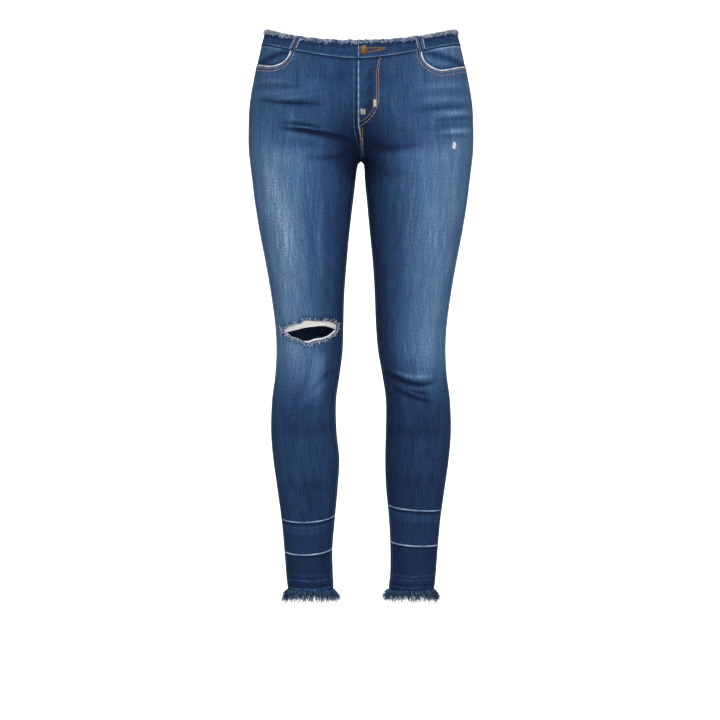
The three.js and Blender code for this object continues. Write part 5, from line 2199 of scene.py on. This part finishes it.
@dataclass
class BackPockets:
    """Plain patch pockets on the seat."""

    top_inner: float = 30.0
    top_outer: float = 138.0
    foot_inner: float = 38.0
    foot_outer: float = 126.0
    top_z: float = -90.0
    foot_z: float = -188.0
    point: float = 16.0
    wall: float = 1.2
    stand_off: float = 3.2
    cut: tuple = (0.125, 0.100)
    area: float = 0.0108

    def spot(self, side: Side, u: Array, s: Array) -> tuple[Array, Array]:
        """q and z of a place on a pocket, u across and s down."""
        foot = self.foot_z + self.point * np.abs(u * 2 - 1)
        z = mix(self.top_z, foot, s)
        x = mix(mix(self.top_inner, self.foot_inner, s), mix(self.top_outer, self.foot_outer, s), u)
        return FIGURE.q_at(side, Face.BACK, x, z), z

    def build(self, stitches: StitchRows) -> list[Piece]:
        """Makes both pockets with their double topstitching.

        Args:
            stitches: the rows that its topstitching joins.

        Returns:
            The pockets.
        """
        made = []
        for side in Side:
            def edge_of(q: Array, x: Array, z: Array) -> Array:
                """How far inside the pocket's nearest edge a place lies.

                Args:
                    q: how far from the middle to the outseam, 0 to 1.
                    x: place across, in mm.
                    z: height, in mm.

                Returns:
                    The distances, in mm.
                """
                s = np.clip((self.top_z - z) / (self.top_z - self.foot_z), 0, 1)
                inner = np.abs(x) - mix(self.top_inner, self.foot_inner, s)
                outer = mix(self.top_outer, self.foot_outer, s) - np.abs(x)
                middle = (self.top_inner + self.top_outer) / 2
                foot = z - (self.foot_z + self.point * np.abs(np.abs(x) - middle) / 50)
                return np.minimum(np.minimum(inner, outer), np.minimum(foot, self.top_z - z))

            def tint(tone: Array, q: Array, x: Array, z: Array) -> Array:
                """A little paler than the seat, and palest along the edges."""
                near = edge_of(q, x, z)
                return tone + 0.06 + 0.26 * fade(near, 1.8)

            piece = ClothPiece(f"seat_pocket_{side.name.lower()}", side, Face.BACK, WASHED,
                               spread(40), spread(36), lambda u, s, k=side: self.spot(k, u, s),
                               stand_off=self.stand_off, wall=self.wall, tint=tint).build()
            settle(piece, "washed_denim", f"back_pocket_{side.name.lower()}")
            for inset in (0.03, 0.08):
                u = np.concatenate([np.full(30, inset), np.linspace(inset, 1 - inset, 40),
                                    np.full(30, 1 - inset)])
                s = np.concatenate([np.linspace(0.01, 1 - inset, 30), np.full(40, 1 - inset),
                                    np.linspace(1 - inset, 0.01, 30)])
                stitches.row(side, Face.BACK, *self.spot(side, u, s), self.stand_off + 0.1)
            for drop in (0.10, 0.15):
                u = np.linspace(0.03, 0.97, 30)
                stitches.row(side, Face.BACK, *self.spot(side, u, np.full(30, drop)),
                             self.stand_off + 0.1)
            made.append(piece)
        return made


@dataclass
class LegBands:
    """Upper and lower bands below each leg's seam, in front and back halves."""

    across: int = 48
    radius: float = 44.0
    left_upper: tuple = (0.145, 0.056)
    left_lower: tuple = (0.134, 0.070)
    right_upper: tuple = (0.140, 0.052)
    right_lower: tuple = (0.132, 0.059)

    def build(self) -> list[Piece]:
        """Makes the eight bands."""
        made = []
        for side in Side:
            for face in Face:
                for lower in (False, True):
                    made.append(self.band(side, face, lower))
        return made

    def band(self, side: Side, face: Face, lower: bool) -> Piece:
        """Makes one band.

        Args:
            side: the wearer's left or right.
            face: front or back.
            lower: True for the lower band.

        Returns:
            The band.
        """
        name = f"{'lower' if lower else 'upper'}_{face.name.lower()}_{side.name.lower()}"

        def top(q: Array) -> Array:
            """The band's upper seam."""
            return SEAMS.leg(side, lower, q)

        def foot(q: Array) -> Array:
            """The band's lower edge."""
            return np.full(np.shape(q), SEAMS.hem_z) if lower else SEAMS.leg(side, True, q)

        def place(u: Array, s: Array) -> tuple[Array, Array]:
            """Lays the band's grid.

            Args:
                u: how far across, 0 to 1.
                s: how far down, 0 to 1.

            Returns:
                q and z.
            """
            edge = FIGURE.edge(top(u))
            q = mix(edge, 1 - edge, u)
            return q, mix(top(q) - 0.15, foot(q) + 0.15, s)

        def lift(q: Array, z: Array) -> Array:
            """Presses the upper seam in, and raises a line above the hem.

            Args:
                q: how far from the middle to the outseam, 0 to 1.
                z: height, in mm.

            Returns:
                How far the cloth stands off, in mm.
            """
            fall = top(q) - z
            rough = 0.4 * fade(z - foot(q) - 16.0, 1.6) if lower else 0.0
            return rough - 0.7 * fade(fall, 3.0)

        def tint(tone: Array, q: Array, x: Array, z: Array) -> Array:
            """Dark cloth, with pale worn lines and painted shade under the upper seam.

            Args:
                tone: the wash's own tone; not used.
                q: how far from the middle to the outseam, 0 to 1.
                x: place across, in mm.
                z: height, in mm.

            Returns:
                The tones.
            """
            fall, rise = top(q) - z, z - foot(q)
            arc = np.pi * self.radius
            sides = 0.06 * (fade(q * arc - 9, 2.0) + fade((1 - q) * arc - 9, 2.0))
            base = (0.08 if lower else 0.15) + 0.04 * np.sin(np.pi * q)
            # Painted shade under the lapped upper seam.
            base = base + sides - 0.30 * fade(fall, 3.2)
            middle = np.sin(np.pi * np.clip(q, 0.0, 1.0)) ** 0.35
            if not lower:
                stray = 0.7 + 0.5 * np.sin(x * 0.9) * np.sin(x * 0.37 + 1.0)
                marks = 0.16 * fade(fall - 8.5, 2.6)
                marks = marks + 0.12 * fade(fall - 15.0, 3.0)
                return base + marks * stray * middle
            rows = ((27.0, 1.5, 0.26), (21.0, 1.3, 0.26), (16.0, 1.3, 0.16), (9.0, 1.3, 0.26))
            if side is Side.RIGHT:
                rows = ((28.0, 1.3, 0.16), (19.5, 1.4, 0.36), (14.0, 1.3, 0.16), (6.0, 1.5, 0.56))
            for height, half, amount in rows:
                dip = height - 3.0 * np.sin(np.pi * q) + 0.5 * np.sin(x * 0.19 + height)
                worn = 0.62 + 0.38 * np.sin(x * 0.33 + height * 1.7) * np.sin(x * 0.11 + height)
                base = base + amount * worn * fade(rise - dip, half) * middle
            return base - 0.10 * fade(rise - 10.5, 3.0)

        piece = ClothPiece(f"band_{name}", side, face, BANDED, spread(self.across), spread(44),
                           place, lift=lift, tint=tint).build()
        settle(piece, "dark_denim", f"leg_band_{name}")
        return piece


@dataclass
class HemFringes:
    """Frayed warp threads that flare below the raw hems."""

    threads: int = 1500
    short: int = 1100
    strays: int = 5
    seed: int = 21

    def build(self) -> list[Piece]:
        """Makes both fringes."""
        return [self.fringe(side) for side in Side]

    def fringe(self, side: Side) -> Piece:
        """Makes one fringe.

        Args:
            side: the wearer's left or right.

        Returns:
            The fringe.
        """
        name = side.name.lower()
        fray = Strands(f"fringe_{name}", BLUE_FRAY, radius=0.34, steps=6, sides=3,
                       seed=self.seed + int(side.value))
        r = fray.random
        for count, low, high, flare in ((self.threads, 12.0, 21.0, 0.46),
                                        (self.short, 5.0, 12.0, 0.62)):
            face = r.choice([-1.0, 1.0], count)
            q = r.uniform(0.002, 0.998, count)
            points, normals = FIGURE.cloth(side.value, face, q, np.full(count, SEAMS.hem_z + 0.6))
            roots = points + normals * r.uniform(-1.3, 0.1, (count, 1))
            clump = np.sin(q * 57.0 + face) * 0.08 + np.sin(q * 23.0 - face) * 0.08
            along = unit(np.cross(normals, UP))
            heading = -UP + normals * r.normal(flare, 0.2, (count, 1))
            heading = heading + along * (clump[:, None] + r.normal(0, 0.3, (count, 1)))
            length = r.uniform(low, high, count) * (1 + 0.16 * np.sin(q * 41.0 + 2 * face))
            bend = normals * r.normal(0.6, 1.2, (count, 1)) + r.normal(0, 1.0, (count, 3))
            tone = np.clip(r.beta(0.8, 1.7, count) + 0.12 * np.sin(q * 91.0), 0.0, 1.0)
            fray.grow(roots, heading, length, bend, 0.32, tone)
        q = np.array([0.3, 0.62, 0.8, 0.45, 0.15]) if side is Side.RIGHT else \
            np.array([0.82, 0.36, 0.55, 0.2, 0.7])
        points, normals = FIGURE.cloth(side.value, -1.0, q, np.full(len(q), SEAMS.hem_z))
        heading = -UP + normals * 0.3 + r.normal(0, 0.3, (len(q), 3))
        fray.grow(points, heading, np.array([33.0, 27.0, 25.0, 24.0, 26.0]),
                  r.normal(0, 2.0, (len(q), 3)), 0.5, np.array([0.5, 0.3, 0.7, 0.2, 0.5]))
        return settle(fray.build(), "blue_fray", f"hem_fringe_{name}")


@dataclass
class WornNick:
    """The small worn spot on the left hip, where white weft threads show."""

    x: float = 146.0
    z: float = -169.5
    width: float = 5.0
    height: float = 11.0

    def build(self) -> Piece:
        """Makes its threads."""
        nick = Strands("hip_nick_threads", WEFT, radius=0.34, steps=6, sides=4, seed=5)
        rows = []
        for k in np.linspace(-0.5, 0.5, 17):
            half = self.width / 2 * math.sqrt(max(1 - (2 * k) ** 2, 0.05))
            x = np.linspace(self.x - half, self.x + half, 6) + 0.5 * np.sin(k * 7)
            z = np.full(6, self.z + k * self.height) + nick.random.normal(0, 0.12, 6)
            q = FIGURE.q_at(Side.LEFT, Face.FRONT, x, z)
            rows.append(along_cloth(Side.LEFT, Face.FRONT, q, z, 0.1)[0])
        nick.lay(np.array(rows), nick.random.uniform(0.5, 1.0, len(rows)))
        return settle(nick.build(), "weft_thread")


@dataclass
class TackButton:
    """A domed metal tack button with a raised rim and a small hollow in its middle."""

    x: float = 4.0
    z: float = -26.0
    radius: float = 7.1
    around: int = 40

    def build(self) -> Piece:
        """Turns the button on its axis and sets it on the waistband."""
        low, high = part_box("button")
        back, front = high.y / MM, low.y / MM
        profile = ((0.0, back, 0.1), (2.8, back, 0.1), (2.8, front + 2.6, 0.1),
                   (self.radius - 0.6, front + 2.6, 0.2), (self.radius, front + 2.1, 0.6),
                   (self.radius, front + 1.5, 0.9), (self.radius - 0.7, front + 0.9, 1.0),
                   (self.radius - 1.4, front + 1.1, 0.35), (self.radius - 2.0, front + 1.0, 0.3),
                   (4.2, front + 0.3, 0.8), (2.6, front - 0.1, 1.0), (1.6, front - 0.1, 0.8),
                   (1.1, front + 0.25, 0.2), (0.0, front + 0.35, 0.1))
        turn = np.linspace(0, 2 * np.pi, self.around, endpoint=False)
        points, tones = [], []
        for r, y, tone in profile:
            ring = np.column_stack([self.x + r * np.cos(turn), np.full(self.around, y),
                                    self.z + r * np.sin(turn)])
            points.append(ring if r else ring[:1])
            tones.extend([tone] * len(points[-1]))
        starts = np.cumsum([0] + [len(p) for p in points])
        faces = []
        for k in range(len(points) - 1):
            for c in range(self.around):
                d = (c + 1) % self.around
                a, b = starts[k], starts[k + 1]
                if len(points[k]) == 1:
                    faces.append([a, b + c, b + d])
                elif len(points[k + 1]) == 1:
                    faces.append([a + c, b, a + d])
                else:
                    faces.append([a + c, b + c, b + d, a + d])
        mesh = bpy.data.meshes.new("tack_button")
        mesh.from_pydata((np.vstack(points) * MM).tolist(), [], [[int(i) for i in f] for f in faces])
        set_floats(mesh, "tone", np.array(tones))
        mesh.polygons.foreach_set("use_smooth", [True] * len(mesh.polygons))
        mesh.materials.append(BRONZE.material())
        mesh.update()
        made = new_object("tack_button", mesh)
        face_outwards(made)
        return settle(made, "antique_bronze", "button")


@dataclass
class Studio:
    """A pale floor and backdrop, soft lights and the camera."""

    camera_distance: float = 3.2
    lens: float = 100.0
    eye_z: float = -0.5056
    eye_x: float = -0.0016
    floor_z: float = -0.99

    def build(self) -> None:
        """Sets everything round the garment."""
        self.backdrop()
        self.lights()
        self.camera()

    def backdrop(self) -> None:
        """A sweep that runs from the floor up behind the garment."""
        profile = [(-6.0, self.floor_z), (1.6, self.floor_z)]
        for k in range(1, 13):
            turn = math.pi / 2 * k / 12
            profile.append((1.6 + 1.2 * math.sin(turn), self.floor_z + 1.2 * (1 - math.cos(turn))))
        profile.append((2.8, 5.0))
        points = [(x, y, z) for y, z in profile for x in (-7.0, 7.0)]
        faces = [(2 * k, 2 * k + 1, 2 * k + 3, 2 * k + 2) for k in range(len(profile) - 1)]
        mesh = bpy.data.meshes.new("studio_sweep")
        mesh.from_pydata(points, [], faces)
        mesh.polygons.foreach_set("use_smooth", [True] * len(mesh.polygons))
        material = bpy.data.materials.new("studio_paper")
        material.use_nodes = True
        sheet = NodeSheet(material.node_tree)
        seen = sheet.add("ShaderNodeLightPath").outputs["Is Camera Ray"]
        shader = sheet.add("ShaderNodeBsdfPrincipled")
        sheet.feed(shader, Base_Color=(0.92, 0.92, 0.92, 1.0), Roughness=1.0,
                   Specular_IOR_Level=0.0, Emission_Color=(1.0, 1.0, 1.0, 1.0),
                   Emission_Strength=sheet.math("MULTIPLY", seen, 0.75))
        sheet.feed(sheet.add("ShaderNodeOutputMaterial"), Surface=shader.outputs[0])
        mesh.materials.append(material)
        mesh.update()
        new_object("studio_sweep", mesh)

    def lights(self) -> None:
        """Soft boxes high and low in front and one behind, and an even surround."""
        plan = (("key", (0.05, -2.9, 1.5), (0.0, 0.0, -0.45), 1.3, 70.0),
                ("fill", (0.5, -3.0, 0.1), (0.0, 0.0, -0.5), 1.8, 13.0),
                ("back", (0.3, 2.4, 1.6), (0.0, 0.0, -0.5), 1.8, 30.0))
        for name, place, aim, size, power in plan:
            light = bpy.data.lights.new(name, "AREA")
            light.shape, light.size, light.energy = "SQUARE", size, power
            made = bpy.data.objects.new(name, light)
            bpy.context.scene.collection.objects.link(made)
            made.location = place
            towards = np.array(aim) - np.array(place)
            made.rotation_mode = "QUATERNION"
            made.rotation_quaternion = Vector(towards).to_track_quat("-Z", "Y")
        world = bpy.data.worlds.new("surround")
        world.use_nodes = True
        sheet = NodeSheet(world.node_tree)
        seen = sheet.add("ShaderNodeLightPath").outputs["Is Camera Ray"]
        glow = sheet.add("ShaderNodeBackground")
        strength = sheet.math("ADD", 0.36, sheet.math("MULTIPLY", seen, 0.64))
        sheet.feed(glow, Color=(1.0, 1.0, 1.0, 1.0), Strength=strength)
        sheet.feed(sheet.add("ShaderNodeOutputWorld"), Surface=glow.outputs[0])
        bpy.context.scene.world = world
        bpy.context.scene.view_settings.view_transform = "Standard"
        bpy.context.scene.view_settings.look = "None"

    def camera(self) -> None:
        """A level camera straight in front."""
        camera = bpy.data.cameras.new("camera")
        camera.lens, camera.sensor_width = self.lens, 36.0
        made = bpy.data.objects.new("camera", camera)
        bpy.context.scene.collection.objects.link(made)
        made.location = (self.eye_x, -self.camera_distance, self.eye_z)
        made.rotation_euler = (math.pi / 2, 0.0, 0.0)
        bpy.context.scene.camera = made


def main() -> None:
    """Builds and dresses the jeans, piece by piece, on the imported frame."""
    logging.basicConfig(level=logging.INFO, format="%(message)s")
    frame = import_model()
    LOG.info("frame: %d nodes", len(frame["nodes"]))
    bpy.context.view_layer.update()
    tan = StitchRows("tan_topstitching", TAN_THREAD)
    seat = StitchRows("seat_topstitching", TAN_THREAD, seed=5)
    band = StitchRows("waist_seam_stitches", NAVY_THREAD,
                      width=0.7, seed=6)
    strips = StitchRows("belt_strip_stitches", TAN_THREAD, length=2.0, pitch=2.6, width=0.75, seed=7)
    tacks = StitchRows("bartacks", PALE_THREAD, length=3.4, width=0.8, height=0.7, seed=8)
    hole = StitchRows("buttonhole_thread", BROWN_THREAD, length=3.6, width=0.8, height=0.7, seed=9)
    pockets, knee = ScoopPockets(), SlashedKnee()
    LegPanels().build(pockets, knee)
    for side in Side:
        pockets.build(side, tan)
    knee.build()
    Yokes().build(seat)
    Waistband().build(band)
    SeamRidges().build()
    Fly().build(tan, tacks)
    Buttonhole().build(hole)
    BeltLoops().build(strips)
    BackPockets().build(seat)
    LegBands().build()
    HemFringes().build()
    WornNick().build()
    TackButton().build()
    for rows in (tan, seat, band, strips, tacks, hole):
        settle(rows.build(), None)
    Studio().build()
    bpy.context.view_layer.update()


if __name__ == "__main__":
    main()
